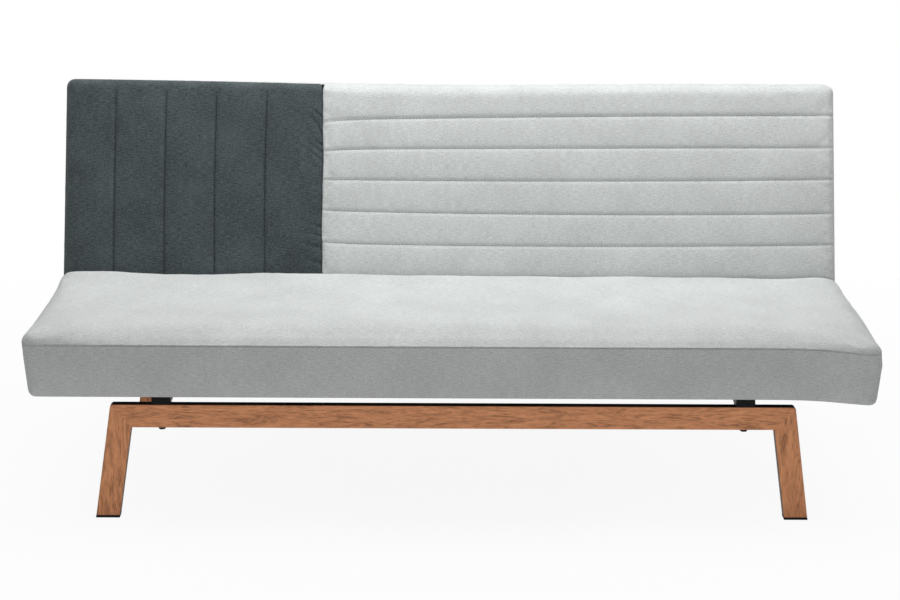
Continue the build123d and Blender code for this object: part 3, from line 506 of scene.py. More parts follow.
def wood_print(name, colour, turn, along_z):
    """Printed wood grain on the front and rear faces, and black on the rest, partly painted shade."""
    material, shader = new_finish(name, roughness=0.5, specular=0.22)
    coordinates = add_node(material, "ShaderNodeTexCoord").outputs
    solid, turned = coordinates["Object"], (0, turn, 0)
    broad = (70, 70, 9) if along_z else (9, 70, 70)
    fine = (520, 520, 60) if along_z else (60, 520, 520)
    figure = noise(material, solid, broad, detail=6.0, roughness=0.7, distortion=2.4, turn=turned)
    pores = noise(material, solid, fine, detail=3.0, roughness=0.7, turn=turned)
    tone = calculate(material, "ADD", figure, calculate(material, "MULTIPLY", pores, PORE_SHARE))
    grain = colour_ramp(
        material, tone, colour, ((0.58, 0.45), (0.69, 0.84), (0.78, 1.04), (0.92, 1.30)))
    # Only faces that look forward or back get the grain; the black on the top, bottom and sides is partly a black
    # coat and partly painted shade, as on the rail's top under the seat.
    facing = add_node(material, "ShaderNodeSeparateXYZ", {"Vector": coordinates["Normal"]})
    frontal = calculate(material, "ABSOLUTE", facing.outputs["Y"])
    faces_with_grain = calculate(material, "GREATER_THAN", frontal, 0.5)
    black = (*sizes("sofa_finishes").black, 1.0)
    finish = add_node(
        material, "ShaderNodeMix", {0: faces_with_grain, 6: black, 7: grain}, data_type="RGBA")
    plug_in(material, shader, finish.outputs[2], tone, strength=0.12, depth=0.0006)
    return material


def sawn_timber(name, colour):
    """Sawn pine with its year lines along the sofa's width."""
    material, shader = new_finish(name, roughness=0.7, specular=0.3)
    year = noise(material, solid_place(material), (2.5, 110, 110),
                 detail=4.0, roughness=0.6, distortion=0.8)
    grain = colour_ramp(material, year, colour, ((0.35, 0.7), (0.6, 1.0), (0.7, 1.15)))
    plug_in(material, shader, grain, year, strength=0.3, depth=0.0008)
    return material


def two_tone(name, colour, surface, tones, cloud, bump, grain=None):
    """A finish clouded between two shares of its colour, its relief a grain or the same cloud."""
    material, shader = new_finish(name, **surface)
    solid = solid_place(material)
    clouding = noise(material, solid, **cloud)
    relief = noise(material, solid, **grain) if grain else clouding
    tint = colour_ramp(material, clouding, colour, ((0.3, tones[0]), (0.7, tones[1])))
    plug_in(material, shader, tint, relief, **bump)
    return material


def powder_coat(name, colour, roughness, specular):
    """A coat with the faint orange peel of a sprayed powder, or a black moulding's skin."""
    return two_tone(
        name, colour, {"roughness": roughness, "specular": specular}, (0.8, 1.5),
        cloud={"stretch": (14, 14, 14), "detail": 3.0},
        grain={"stretch": (700, 700, 700)}, bump={"strength": 0.15, "depth": 0.0004})


def bright_steel(name, colour, roughness):
    """Plated or bare steel with fine drawn scratches and a little clouding."""
    return two_tone(
        name, colour, {"roughness": roughness, "metallic": 1.0}, (0.72, 1.1),
        cloud={"stretch": (90, 90, 90), "detail": 4.0},
        grain={"stretch": (60, 1500, 1500)}, bump={"strength": 0.1, "depth": 0.0002})


def plain_web(name, colour, per_metre):
    """Woven strap or spun cloth with a felted unevenness."""
    return two_tone(
        name, colour, {"roughness": 0.9, "specular": 0.2}, (0.75, 1.25),
        cloud={"stretch": (per_metre,) * 3, "detail": 5.0, "roughness": 0.7},
        bump={"strength": 0.3, "depth": 0.0008})


def sewing_thread(name, colour):
    """Twisted thread: fine turns along it."""
    return two_tone(
        name, colour, {"roughness": 0.7, "specular": 0.3}, (0.75, 1.2),
        cloud={"stretch": (2600, 2600, 2600)}, bump={"strength": 0.3, "depth": 0.0002})


def finish_named(name, make, *values):
    """The material of that name, made once."""
    return bpy.data.materials.get(name) or make(name, *values)


def pale_cloth():
    """The pale melange cloth."""
    return finish_named("pale_melange", melange_cloth, tuple(sizes("sofa_finishes").pale), 0.34)


def dark_cloth():
    """The dark melange cloth."""
    return finish_named("dark_melange", melange_cloth, tuple(sizes("sofa_finishes").dark), 1.0)


def lining_cloth():
    """The black spun cloth of the linings."""
    return finish_named("black_dust_cloth", plain_web, tuple(sizes("sofa_finishes").lining), 500.0)


def zinc_plate():
    """The zinc plate of the small fittings."""
    return finish_named("zinc_plate", bright_steel, (0.55, 0.56, 0.57), 0.34)


def dress(piece, body, slot, material, *nodes):
    """Gives a piece its finish and its body, and hides the CAD nodes that it stands for."""
    piece.data.materials.clear()
    piece.data.materials.append(material)
    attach(piece, body)
    if nodes:
        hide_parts(*nodes)


CORNER_CELLS = 8


def round_path(low, high, radius, cell):
    """A closed rounded rectangle: its points, none of them twice, and their outward directions."""
    points, outward = [], []
    corners = [(high[0] - radius, low[1] + radius, -90), (high[0] - radius, high[1] - radius, 0),
               (low[0] + radius, high[1] - radius, 90), (low[0] + radius, low[1] + radius, 180)]
    for k, (x, y, start) in enumerate(corners):
        for i in range(CORNER_CELLS + 1):
            angle = math.radians(start + 90 * i / CORNER_CELLS)
            outward.append((math.cos(angle), math.sin(angle)))
            points.append((x + radius * math.cos(angle), y + radius * math.sin(angle)))
        next_x, next_y, _ = corners[(k + 1) % 4]
        side = math.radians(start + 90)
        target = (next_x + radius * math.cos(side), next_y + radius * math.sin(side))
        first = points[-1]
        count = max(1, round(math.dist(first, target) / cell))
        for i in range(1, count):
            points.append(tuple(a + (b - a) * i / count for a, b in zip(first, target)))
            outward.append((math.cos(side), math.sin(side)))
    return np.array(points), np.array(outward)


# A band's cloth: its cell along the band, the radius and cells of its folded edge, its thickness.
BAND_CELL = 0.0105
BAND_FOLD = 0.010
FOLD_CELLS = 4
BAND_BACKING = 0.003


def folded_section(seam, edge, rows, turned):
    """A band's section, from its seam to its folded edge: places across it and turns inwards."""
    quarter = np.linspace(0, np.pi / 2, FOLD_CELLS + 1)[1:]
    across = np.concatenate([np.linspace(seam, edge + BAND_FOLD, rows),
                             edge + BAND_FOLD * (1 - np.sin(quarter)), [edge] * len(turned)])
    inwards = np.concatenate([np.zeros(rows), BAND_FOLD * (1 - np.cos(quarter)), turned])
    return across, inwards


def sewn_ring(name, shape, rows, outward):
    """A closed ring of cloth from an array of places, round and then down, its ends joined, held
    at its seam and from its fold on, with its faces outwards."""
    piece, _, b = cloth_piece(name, np.concatenate([shape, shape[:1]]))
    sew(piece, (b == 0) | (b >= rows))
    active(piece)
    in_edit_mode(
        lambda: bpy.ops.mesh.select_all(action="SELECT"),
        lambda: bpy.ops.mesh.remove_doubles(threshold=1e-5),
    )
    face_outwards(piece, outward)
    return piece


# How far the droop of the seat's corner reaches along its front and along its end, how far below
# the seam the corner begins to round in, and the height over which it does.
DROOP_ALONG_FRONT, DROOP_ALONG_END = 0.11, 0.20
EASE_BELOW, EASE_HEIGHT = 0.03, 0.05


def droop(piece):
    """Lets the seat's cover sag at its right front corner and rounds the corner's top in."""
    points = points_of(piece)
    seat = sizes("sofa_seat")
    near_end = bell(SEAT_HIGH[0] - points[:, 0], DROOP_ALONG_FRONT)
    near_front = bell(points[:, 1] - SEAT_LOW[1], DROOP_ALONG_END)
    upper = grow(points[:, 2] - BAND_HIGH[2] + EASE_BELOW, EASE_HEIGHT)
    points[:, 2] -= seat.corner_droop * near_end * near_front
    points[:, 0] -= seat.corner_ease * near_end * near_front * upper
    set_points(piece, points)


# How far the filling stands up along the seat's rear edge, from its left end to its right end, the
# steps over which that is smoothed, and where and how widely the crest lies.
CREST_PLACES = (-0.90, -0.78, -0.66, -0.47, -0.30, -0.12, 0.02,
                0.25, 0.35, 0.58, 0.77, 0.865, 0.90)
CREST_LIFTS = (0.010, 0.012, 0.007, 0.012, 0.013, 0.011, 0.008,
               0.008, 0.011, 0.006, 0.003, 0.009, 0.0)
CREST_STEPS = (-0.03, -0.015, 0, 0.015, 0.03)
CREST_INSET, CREST_REACH = 0.03, 0.075


def rear_crest(x):
    """The height of that crest at places across the seat, smoothed."""
    lifts = [np.interp(x + step, CREST_PLACES, CREST_LIFTS) for step in CREST_STEPS]
    return sum(lifts) / len(CREST_STEPS)


SEAT_TURN_IN, SEAT_TURN_DOWN = np.array((0.985, 0.96, 1.0)), 0.004
SEAT_RIPPLES = [(0.0010, 0.47, 0.4), (0.0007, 0.21, 1.9)]


class SOFA_OT_seat_cushion(bpy.types.Operator):
    """Sew the crowned top of the seat and fill it"""
    bl_idname = "sofa.seat_cushion"
    bl_label = "Seat cushion"

    def execute(self, context):
        seat = sizes("sofa_seat")
        turn, seam = seat.plan_radius, BAND_HIGH[2]
        across, along = (
            edge_stations(SEAT_LOW[axis], SEAT_HIGH[axis], turn, turn, [], seat.cell)
            for axis in (0, 1))
        x, y, fall = rounded_panel(across, along, seat.edge_radius)
        shape = np.stack([x, y, seam + seat.edge_radius - fall], axis=-1)
        piece, a, b = cloth_piece("seat_cushion", shape)
        sew(piece, on_rim(a, b))
        middle = np.array((0.0, (SEAT_LOW[1] + SEAT_HIGH[1]) / 2, 0.0))

        def turned_in(points):
            return middle + (points - middle) * SEAT_TURN_IN - SEAT_TURN_DOWN * WORLD_UP

        fill_with_wadding(piece, pressure=1.3, ease=0.003, most=seat.crown)
        smooth_cloth(piece)
        close_behind(piece, turned_in)
        droop(piece)
        points = points_of(piece)
        upper = grow(points[:, 2] - seam, seat.edge_radius)
        near_rear = bell(SEAT_HIGH[1] - CREST_INSET - points[:, 1], CREST_REACH)
        points[:, 2] += upper * ripple(points[:, 0], SEAT_RIPPLES)
        points[:, 2] += upper * near_rear * rear_crest(points[:, 0])
        set_points(piece, points)
        dress(piece, "base", "pale_fabric", pale_cloth(), "seat_pad")
        return {"FINISHED"}


SEAT_BAND_ROWS = 15
SEAT_BAND_LIFT = 0.0006
FIRST_TURN = 0.7


class SOFA_OT_seat_band(bpy.types.Operator):
    """Sew the band round the seat's four sides"""
    bl_idname = "sofa.seat_band"
    bl_label = "Seat band"

    def execute(self, context):
        seat = sizes("sofa_seat")
        low, high = SEAT_LOW[:2], SEAT_HIGH[:2]
        path, outward = round_path(low, high, seat.plan_radius, BAND_CELL)
        bottom, seam = BAND_LOW[2] + SEAT_BAND_LIFT, BAND_HIGH[2]
        heights, inwards = folded_section(
            seam, bottom, SEAT_BAND_ROWS, [seat.turn_under * FIRST_TURN, seat.turn_under])
        share = 1 - (heights - bottom) / (seam - bottom)
        low_share = grow(bottom + seat.undercut_height - heights, seat.undercut_height)
        end_on, side_on = outward[:, None, 0], outward[:, None, 1]
        ends = end_on ** 2 * seat.end_draw_in * share
        front = np.where(side_on < 0, side_on ** 2, 0) * seat.front_draw_in * share
        rear = np.where(side_on > 0, side_on ** 2, 0) * seat.rear_undercut * low_share
        drawn = ends + front + rear + inwards
        plan = path[:, None, :] - drawn[..., None] * outward[:, None, :]
        tall = np.broadcast_to(heights, plan.shape[:2])
        middle = np.array((0.0, (low[1] + high[1]) / 2, (bottom + seam) / 2))
        piece = sewn_ring("seat_band", np.concatenate([plan, tall[..., None]], axis=-1),
                          SEAT_BAND_ROWS, lambda centres: (centres - middle) * (1.0, 3.0, 0.0))
        fill_with_wadding(piece, pressure=3.0, ease=0.004, most=0.005)
        back_cloth(piece, BAND_BACKING)
        smooth_cloth(piece)
        droop(piece)
        dress(piece, "base", "pale_fabric", pale_cloth(),
              "seat_front_band", "seat_rear_band", "seat_left_band", "seat_right_band")
        return {"FINISHED"}


# How far the level lines of the pale panel hang below even spacing, from the top line down:
# at the joint with the dark panel, at the middle of the sofa and near its right end.
LINE_DROPS = ((0.017, 0.011, 0.000), (0.009, 0.006, -0.001), (0.003, 0.004, -0.003),
              (-0.001, 0.003, 0.000), (-0.002, 0.001, -0.004), (0.0, 0.0, 0.0))
DROP_PLACES = (-0.28, 0.0, 0.82)
# How far each of those lines hooks down where it runs into the joint, and over what reach.
JOINT_HOOKS = (0.006, 0.005, 0.001, -0.001, -0.003, -0.004)
HOOK_REACH = 0.04
SLIP_START, SLIP_REACH = -0.85, 0.5
SWAY_WAVES, SWAY_REACH = [(0.0010, 0.27, 0.6), (0.0005, 0.11, 2.1)], 0.035


def back_seam():
    """How far out of the back the seam between its panels and its band lies."""
    return BACK_FACE - sizes("sofa_back").edge_radius


def level_lines():
    """Heights of the pale panel's sewn lines before they hang, from the top one down."""
    channels = sizes("sofa_back").level_channels
    pitch = (BACK_TOP - BACK_BOTTOM) / channels
    return [BACK_BOTTOM + pitch * k for k in range(channels - 1, 0, -1)]


def upright_lines():
    """Places of the dark panel's sewn lines before they bow, from the outer end."""
    back = sizes("sofa_back")
    return [DARK_END + back.upright_width * k for k in range(1, back.upright_channels)]


def top_dip(x):
    """How far the backrest's top edge has sunk at a place across it."""
    back = sizes("sofa_back")
    return back.top_dip * bell(x, back.dip_reach)


def towards_right(x):
    """Nought at the backrest's left end, growing to one before its joint."""
    return grow(x - SLIP_START, SLIP_REACH)


def seam_slip(x):
    """How far the panels' top seam has slipped at a place across: nothing at the left end."""
    return sizes("sofa_back").seam_drop * towards_right(x)


def line_drop(line, x):
    """How far a level line hangs at a place across it: a smooth curve through its three drops,
    with a hook where the line runs into the joint."""
    hook = JOINT_HOOKS[line] * fade(np.clip(x - JOINT, 0, None), HOOK_REACH)
    return np.polyval(np.polyfit(DROP_PLACES, LINE_DROPS[line], 2), x) + hook


def up_the_back(up):
    """Nought at the backrest's bottom edge and one at its top."""
    return grow(up - BACK_BOTTOM, BACK_TOP - BACK_BOTTOM)


def bow(x, up):
    """How far a place on the dark panel is drawn towards the outer end."""
    share = grow(x - DARK_END, JOINT - DARK_END)
    most = sizes("sofa_back").upright_bow
    return most * share * (1 - share ** 8) * np.sin(np.pi * up_the_back(up))


def sway(piece):
    """Lets the joint between the two panels wander a little, as it was sewn."""
    x, up, out = back_reading(points_of(piece))
    near = fade(np.abs(x - JOINT), SWAY_REACH)
    set_points(piece, back_place(x + near * ripple(up, SWAY_WAVES), up, out))


def sink_edge(x, up, slip=0.0):
    """Lowers the top of the backrest's outline by its dip and a slip, less towards the bottom."""
    return up - (top_dip(x) + slip) * up_the_back(up) ** 4


def sink_lines(x, up, lines):
    """Lowers the pale panel so that each of its lines, given from the bottom up, hangs."""
    marks = np.array([BACK_BOTTOM, *lines, BACK_TOP])
    order = range(len(lines) - 1, -1, -1)
    drops = np.stack([np.zeros_like(x), *[line_drop(k, x) for k in order],
                      top_dip(x) + seam_slip(x)])
    place = np.clip(np.searchsorted(marks, up, side="right") - 1, 0, len(marks) - 2)
    share = grow(up - marks[place], marks[place + 1] - marks[place])
    below = np.take_along_axis(drops, place[None], axis=0)[0]
    above = np.take_along_axis(drops, place[None] + 1, axis=0)[0]
    return up - (below + (above - below) * share)


TURN_IN_ACROSS, TURN_IN_UP, TURN_IN_BEHIND = 0.985, 0.98, 0.003


def back_panel(name, low, high, turns, pressure, stops_across=(), stops_up=()):
    """A panel of the backrest's front with its sewn lines held, filled and smoothed."""
    back = sizes("sofa_back")
    seam, edge = back_seam(), back.edge_radius
    across = edge_stations(low, high, turns[0], turns[1], stops_across, back.cell)
    along = edge_stations(BACK_BOTTOM, BACK_TOP, edge, edge, stops_up, back.cell)
    x, up, fall = rounded_panel(across, along, edge)
    up = sink_lines(x, up, stops_up) if stops_up else sink_edge(x, up, seam_slip(x))
    out = seam + back.panel_rise * (1 - fall / edge)
    piece, a, b = cloth_piece(name, back_place(x, up, out))
    held = on_rim(a, b)
    for (places, turned, _), cells, stops in ((across, a, stops_across), (along, b, stops_up)):
        for stop in stops:
            held |= (np.abs(places[cells] - stop) < 1e-6) & (turned[cells] == 0)
    sew(piece, held)
    centre_x, centre_up = (low + high) / 2, (BACK_BOTTOM + BACK_TOP) / 2

    def turned_in(points):
        px, pup, _ = back_reading(points)
        px = centre_x + (px - centre_x) * TURN_IN_ACROSS
        pup = centre_up + (pup - centre_up) * TURN_IN_UP
        return back_place(px, pup, seam - TURN_IN_BEHIND)

    fill_with_wadding(piece, pressure, ease=0.010, most=back.puff)
    smooth_cloth(piece)
    close_behind(piece, turned_in)
    return piece


# The depth behind a panel's face that moves with it, and the run-in of the upright lines' ends.
FACE_DEPTH = 0.012
LINE_RUN_IN = 0.02


def below_top(up):
    """One over most of the backrest and nought above the upper ends of the upright lines."""
    return grow(BACK_TOP - sizes("sofa_back").upright_start - up, LINE_RUN_IN)


def press_out(piece, lift):
    """Moves a panel's face out of the back by an amount for each place across and up it."""
    points = points_of(piece)
    x, up, out = back_reading(points)
    face = grow(out - back_seam(), FACE_DEPTH)
    set_points(piece, points + (face * lift(x, up))[:, None] * BACK_OUT)


def furrow(piece, distance, depth):
    """Pulls the thread of a sewn line into the cloth."""
    width = sizes("sofa_back").seam_width
    press_out(piece, lambda x, up: -depth(up) * bell(distance(x, up), width))


# How narrow the folds beside the joint are, and how far the cloth rises between them.
FOLD_WIDTH, FOLD_RISE = 0.38, 0.25


def pucker(piece, slant, height, length, reach, places, spread):
    """Gathers the cloth into short slanting folds beside the joint, at some places along it."""
    waves = [(0.25 * length, 4.3 * length, 0.7), (0.15 * length, 2.7 * length, 1.9)]

    def lift(x, up):
        patch = np.clip(sum(bell(up - place, spread) for place in places), 0, 1)
        wave = np.sin(np.pi * (up + ripple(up, waves) + slant * (x - JOINT)) / length)
        fold = FOLD_RISE - bell(wave, FOLD_WIDTH)
        return height * patch * fold * fade(np.abs(x - JOINT), reach)

    press_out(piece, lift)


JOINT_GAP = 0.0006


class SOFA_OT_back_panels(bpy.types.Operator):
    """Quilt the pale and the dark panel of the backrest"""
    bl_idname = "sofa.back_panels"
    bl_label = "Back panels"

    def execute(self, context):
        back = sizes("sofa_back")
        level, upright = level_lines(), upright_lines()
        pale = back_panel("backrest_pale_panel", JOINT + JOINT_GAP, PALE_END,
                          (back.joint_radius, back.edge_radius), pressure=4.0,
                          stops_up=level[::-1])
        for k, line in enumerate(level):
            furrow(pale, lambda x, up, k=k, line=line: up - line + line_drop(k, x),
                   lambda up: back.seam_depth)
        hung = [line - float(line_drop(k, JOINT)) for k, line in enumerate(level)]
        pucker(pale, slant=0.5, height=0.0014, length=0.019, reach=0.020, places=hung, spread=0.014)
        sway(pale)
        dress(pale, "backrest", "pale_fabric", pale_cloth(), "backrest_light_pad")
        dark = back_panel("backrest_dark_panel", DARK_END, JOINT - JOINT_GAP,
                          (back.edge_radius, back.joint_radius), pressure=3.0,
                          stops_across=upright)
        for line in upright:
            furrow(dark, lambda x, up, line=line: x - line,
                   lambda up: back.upright_depth * below_top(up))
        x, up, out = back_reading(points_of(dark))
        set_points(dark, back_place(x - bow(x, up), up, out))
        pucker(dark, slant=1.0, height=0.0055, length=0.027, reach=0.024,
               places=[0.33, 0.37, 0.41], spread=0.03)
        pucker(dark, slant=0.25, height=0.0050, length=0.033, reach=0.022,
               places=[0.06, 0.10, 0.15], spread=0.03)
        sway(dark)
        dress(dark, "backrest", "dark_fabric", dark_cloth(), "backrest_dark_pad")
        return {"FINISHED"}


def cut_hinge_slots(piece, spans, slot_top):
    """Opens a cover for the hinge brackets, below a height and between the ends of each span."""
    active(piece)
    x, up, out = back_reading(points_of(piece))
    inside = np.zeros(len(x), bool)
    for start, end in spans:
        inside |= (x > start) & (x < end)
    inside &= (up < slot_top) & (out < sizes("sofa_back").hinge_slot_reach)
    in_edit_mode(
        lambda: bpy.ops.mesh.select_mode(type="VERT"),
        lambda: bpy.ops.mesh.select_all(action="DESELECT"),
    )
    piece.data.vertices.foreach_set("select", inside)
    in_edit_mode(lambda: bpy.ops.mesh.delete(type="VERT"))


BACK_BAND_ROWS = 12
BACK_BAND_LIFT = 0.0004
BACK_BAND_TURNS = [0.014, 0.018]
BAND_SLOT_HEIGHT = 0.03


class SOFA_OT_back_band(bpy.types.Operator):
    """Sew the band round the backrest's edge"""
    bl_idname = "sofa.back_band"
    bl_label = "Back band"

    def execute(self, context):
        back = sizes("sofa_back")
        path, outward = round_path(
            (BACK_LEFT, BACK_BOTTOM), (BACK_RIGHT, BACK_TOP), back.edge_radius, BAND_CELL)
        seam, rear = back_seam(), BACK_REAR + BACK_BAND_LIFT
        outs, inwards = folded_section(seam, rear, BACK_BAND_ROWS, BACK_BAND_TURNS)
        share = grow(seam - outs, seam - rear)
        top_side = (np.clip(outward[:, 1], 0, 1) * towards_right(path[:, 0]))[:, None]
        rise = top_side * (back.band_swell * np.sin(np.pi * share) ** 0.7
                           - back.seam_drop * (1 - share) ** 4)
        plan = path[:, None, :] - (inwards[None, :] - rise)[..., None] * outward[:, None, :]
        x, up = plan[..., 0], plan[..., 1]
        middle = back_place(0.0, (BACK_BOTTOM + BACK_TOP) / 2, (seam + rear) / 2)
        piece = sewn_ring("backrest_band", back_place(x, sink_edge(x, up), outs), BACK_BAND_ROWS,
                          lambda centres: (centres - middle) * (1.0, 3.0, 3.0))
        fill_with_wadding(piece, pressure=5.0, ease=0.006, most=0.006)
        brackets = [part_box(side + "_hinge_bracket") for side in ("left", "right")]
        room = back.hinge_slot_room
        spans = [(box_low[0] - room, box_high[0] + room) for box_low, box_high in brackets]
        cut_hinge_slots(piece, spans, BACK_BOTTOM + BAND_SLOT_HEIGHT)
        back_cloth(piece, BAND_BACKING)
        smooth_cloth(piece)
        dress(piece, "backrest", "pale_fabric", pale_cloth(),
              "backrest_top_band", "backrest_bottom_band", "backrest_left_band",
              "backrest_right_band")
        return {"FINISHED"}


def bar_copies(name, size, ease, *rows):
    """Small bars: one bar with eased edges and its copies, each row of them a count and a step."""
    bpy.ops.object.select_all(action="DESELECT")
    bpy.ops.mesh.primitive_cube_add(size=1, scale=size)
    piece = bpy.context.active_object
    piece.name = piece.data.name = name
    bpy.ops.object.transform_apply(location=True, rotation=True, scale=True)
    in_edit_mode(
        lambda: bpy.ops.mesh.select_all(action="SELECT"),
        lambda: bpy.ops.mesh.bevel(offset=ease, segments=1, affect="EDGES"),
    )
    for count, step in rows:
        apply_modifier(piece, "Copies", "ARRAY", count=count, use_relative_offset=False,
                       use_constant_offset=True, constant_offset_displace=step)
    return piece


# Shares of the thread's thickness: its eased edges, and how far it stands out of its furrow.
THREAD_EASE, THREAD_PROUD = 0.35, 0.3


def stitch_rows(name, per_row, rows):
    """Rows of stitches a pitch apart, each row a metre from the next until it is laid."""
    back = sizes("sofa_back")
    return bar_copies(
        name, (back.stitch_length, back.thread, back.thread), back.thread * THREAD_EASE,
        (per_row, (back.stitch_pitch, 0, 0)), (rows, (0, 1, 0)))


def lay_stitches(piece, panel, start, line_place, upright):
    """Lays the rows along a panel's sewn lines, each stitch in the furrow under it."""
    back = sizes("sofa_back")
    x, up, out = back_reading(points_of(panel))
    front = np.flatnonzero(out > back_seam())
    tree = KDTree(len(front))
    for i in front:
        tree.insert((x[i], up[i], 0.0), int(i))
    tree.balance()
    points = points_of(piece)
    number = np.rint(points[:, 0] / back.stitch_pitch)
    row = np.rint(points[:, 1]).astype(int)
    middle = start + number * back.stitch_pitch
    along = start + points[:, 0]
    beside = points[:, 1] - row
    line = np.array([line_place(r, a) for r, a in zip(row, middle)])
    floor = np.empty(len(points))
    found = {}
    for i, key in enumerate(zip(row, number)):
        if key not in found:
            spot = (line[i], middle[i], 0.0) if upright else (middle[i], line[i], 0.0)
            found[key] = out[tree.find(spot)[1]]
        floor[i] = found[key]
    lift = floor + points[:, 2] + back.thread * THREAD_PROUD
    if upright:
        set_points(piece, back_place(line + beside, along, lift))
    else:
        set_points(piece, back_place(along, line + beside, lift))


# The bare end of a sewn line, as a share of the edge's radius, and what an upright line adds at
# its top; and how much darker than its cloth each thread is, a darkness that is partly the
# thread's own and partly painted shade standing in for the shade in the sewn furrows.
BARE_END, BARE_TOP = 1.4, 0.012
PALE_THREAD_AND_SHADE, DARK_THREAD_AND_SHADE = 0.55, 0.25


class SOFA_OT_quilting_thread(bpy.types.Operator):
    """Lay the stitches of the quilting along every channel"""
    bl_idname = "sofa.quilting_thread"
    bl_label = "Quilting thread"

    def execute(self, context):
        back, finishes = sizes("sofa_back"), sizes("sofa_finishes")
        lines, straight = level_lines(), upright_lines()
        margin = back.edge_radius * BARE_END
        per_row = int((PALE_END - JOINT - 2 * margin) / back.stitch_pitch)
        level = stitch_rows("backrest_pale_stitching", per_row, len(lines))
        lay_stitches(level, bpy.data.objects["backrest_pale_panel"], JOINT + margin,
                     lambda row, x: lines[row] - float(line_drop(row, x)), False)
        # The thread is darker than its cloth partly as painted shade for the furrow that it lies in.
        thread = finish_named("pale_thread", sewing_thread, shade(finishes.pale, PALE_THREAD_AND_SHADE))
        dress(level, "backrest", "pale_fabric", thread)
        bare = margin + back.upright_start + BARE_TOP
        per_row = int((BACK_TOP - BACK_BOTTOM - bare) / back.stitch_pitch)
        upright = stitch_rows("backrest_dark_stitching", per_row, len(straight))
        lay_stitches(upright, bpy.data.objects["backrest_dark_panel"], BACK_BOTTOM + margin,
                     lambda row, up: straight[row] - float(bow(straight[row], up)), True)
        # The thread is darker than its cloth partly as painted shade for the furrow that it lies in.
        thread = finish_named("dark_thread", sewing_thread, shade(finishes.dark, DARK_THREAD_AND_SHADE))
        dress(upright, "backrest", "dark_fabric", thread)
        return {"FINISHED"}


def rim_spots(low, high, inset, pitch):
    """Even places round the inside of a rectangle's edge, each with the direction of its side."""
    near, far = np.array(low) + inset, np.array(high) - inset
    corners = np.array([near, (far[0], near[1]), far, (near[0], far[1]), near])
    spots = []
    for start, end in zip(corners, corners[1:]):
        length = np.linalg.norm(end - start)
        count = round(length / pitch)
        spots += [(start + (end - start) * (k + 0.5) / count, (end - start) / length)
                  for k in range(count)]
    return spots


STAPLE, STAPLE_EASE = (0.011, 0.0012, 0.0007), 0.0002
STAPLE_INSET, STAPLE_PITCH = 0.008, 0.045


def staples(name, body, spots):
    """Staples at places on a surface, each with its direction and the way out of the surface."""
    piece = bar_copies(name, STAPLE, STAPLE_EASE, (len(spots), (1, 0, 0)))
    points = points_of(piece)
    number = np.rint(points[:, 0]).astype(int)
    place, along, outward = (np.array(part)[number] for part in zip(*spots))
    beside = np.cross(outward, along)
    along = along * (points[:, :1] - number[:, None])
    set_points(piece, place + along + beside * points[:, 1:2] + outward * points[:, 2:])
    dress(piece, body, "zinc_steel", zinc_plate())


LINING_CELL, LINING_THICKNESS, LINING_SLACK = 0.012, 0.0008, 0.0012
# The rear lining: its distance from the back's outline and rear, how far in it comes loose, and how
# clear of the hinge slots its cloth and its staples stay.
REAR_HEM, REAR_INSET, REAR_REACH = 0.0178, 0.0008, 0.1
REAR_WAVES = [(0.5, 0.31, 0.2), (0.4, 0.13, 1.1)]
SLOT_TRIM, SLOT_CLEAR, CORNER_CLEAR = 1e-4, 0.012, 0.01
# The dust cloth: its place over the CAD cover's underside, and how wide it is held under the seat's
# timbers and under its braces, which lie just inside the cross rails' outer faces.
DUST_LIFT, DUST_HELD, DUST_REACH = 0.0001, 0.05, 0.08
BRACE_INSET, BRACE_HELD = 0.02, 0.06
DUST_WAVES = [(0.5, 0.37, 0.9), (0.3, 0.16, 2.0)]


def slack_inside(x, y, low, high, held, reach):
    """Nought over the held rim of a lining, growing to one over a reach inside it."""
    gaps = (high[0] - np.abs(x), y - low[1], high[1] - y)
    return math.prod(grow(gap - held, reach) for gap in gaps)


def line_back():
    """Staples the lining over the back's rear, with slots where the CAD panel has them."""
    rear = BACK_REAR + REAR_INSET
    low_x, high_x = BACK_LEFT + REAR_HEM, BACK_RIGHT - REAR_HEM
    low_up, high_up = BACK_BOTTOM + REAR_HEM, BACK_TOP - REAR_HEM
    low, high = (low_x, low_up), (high_x, high_up)
    cad_x, cad_up, _ = back_reading(node_points("backrest_rear_panel"))
    inner = np.abs(cad_x) < cad_x.max() - CORNER_CLEAR
    marks = np.unique(np.round(cad_x[inner], 4))
    slot_top = float(cad_up[inner].max())
    slots = [(marks[k] + SLOT_TRIM, marks[k + 1] - SLOT_TRIM) for k in (0, 2)]
    x = edge_stations(low_x, high_x, 0, 0, marks, LINING_CELL, 0)[0][:, None]
    up = edge_stations(low_up, high_up, 0, 0, [slot_top], LINING_CELL, 0)[0][None, :]
    slack = LINING_SLACK * slack_inside(x, up, low, high, 0.0, REAR_REACH)
    out = rear + slack * (1 + ripple(x + 0.6 * up, REAR_WAVES))
    rear_lining, _, _ = cloth_piece("backrest_rear_lining", back_place(x, sink_edge(x, up), out))
    face_outwards(rear_lining, lambda centres: np.broadcast_to(-BACK_OUT, centres.shape))
    cut_hinge_slots(rear_lining, slots, slot_top - SLOT_TRIM)
    back_cloth(rear_lining, LINING_THICKNESS)
    smooth_cloth(rear_lining)
    spots = []
    for (x, up), (run_x, run_up) in rim_spots(low, high, STAPLE_INSET, STAPLE_PITCH):
        beside = any(start - SLOT_CLEAR < x < end + SLOT_CLEAR for start, end in slots)
        if up >= slot_top or not beside:
            run = np.array((run_x, 0, 0)) + run_up * BACK_UP
            spots.append((back_place(x, sink_edge(x, up), rear), run, -BACK_OUT))
    staples("backrest_staples", "backrest", spots)
    dress(rear_lining, "backrest", "dust_cloth", lining_cloth(), "backrest_rear_panel")


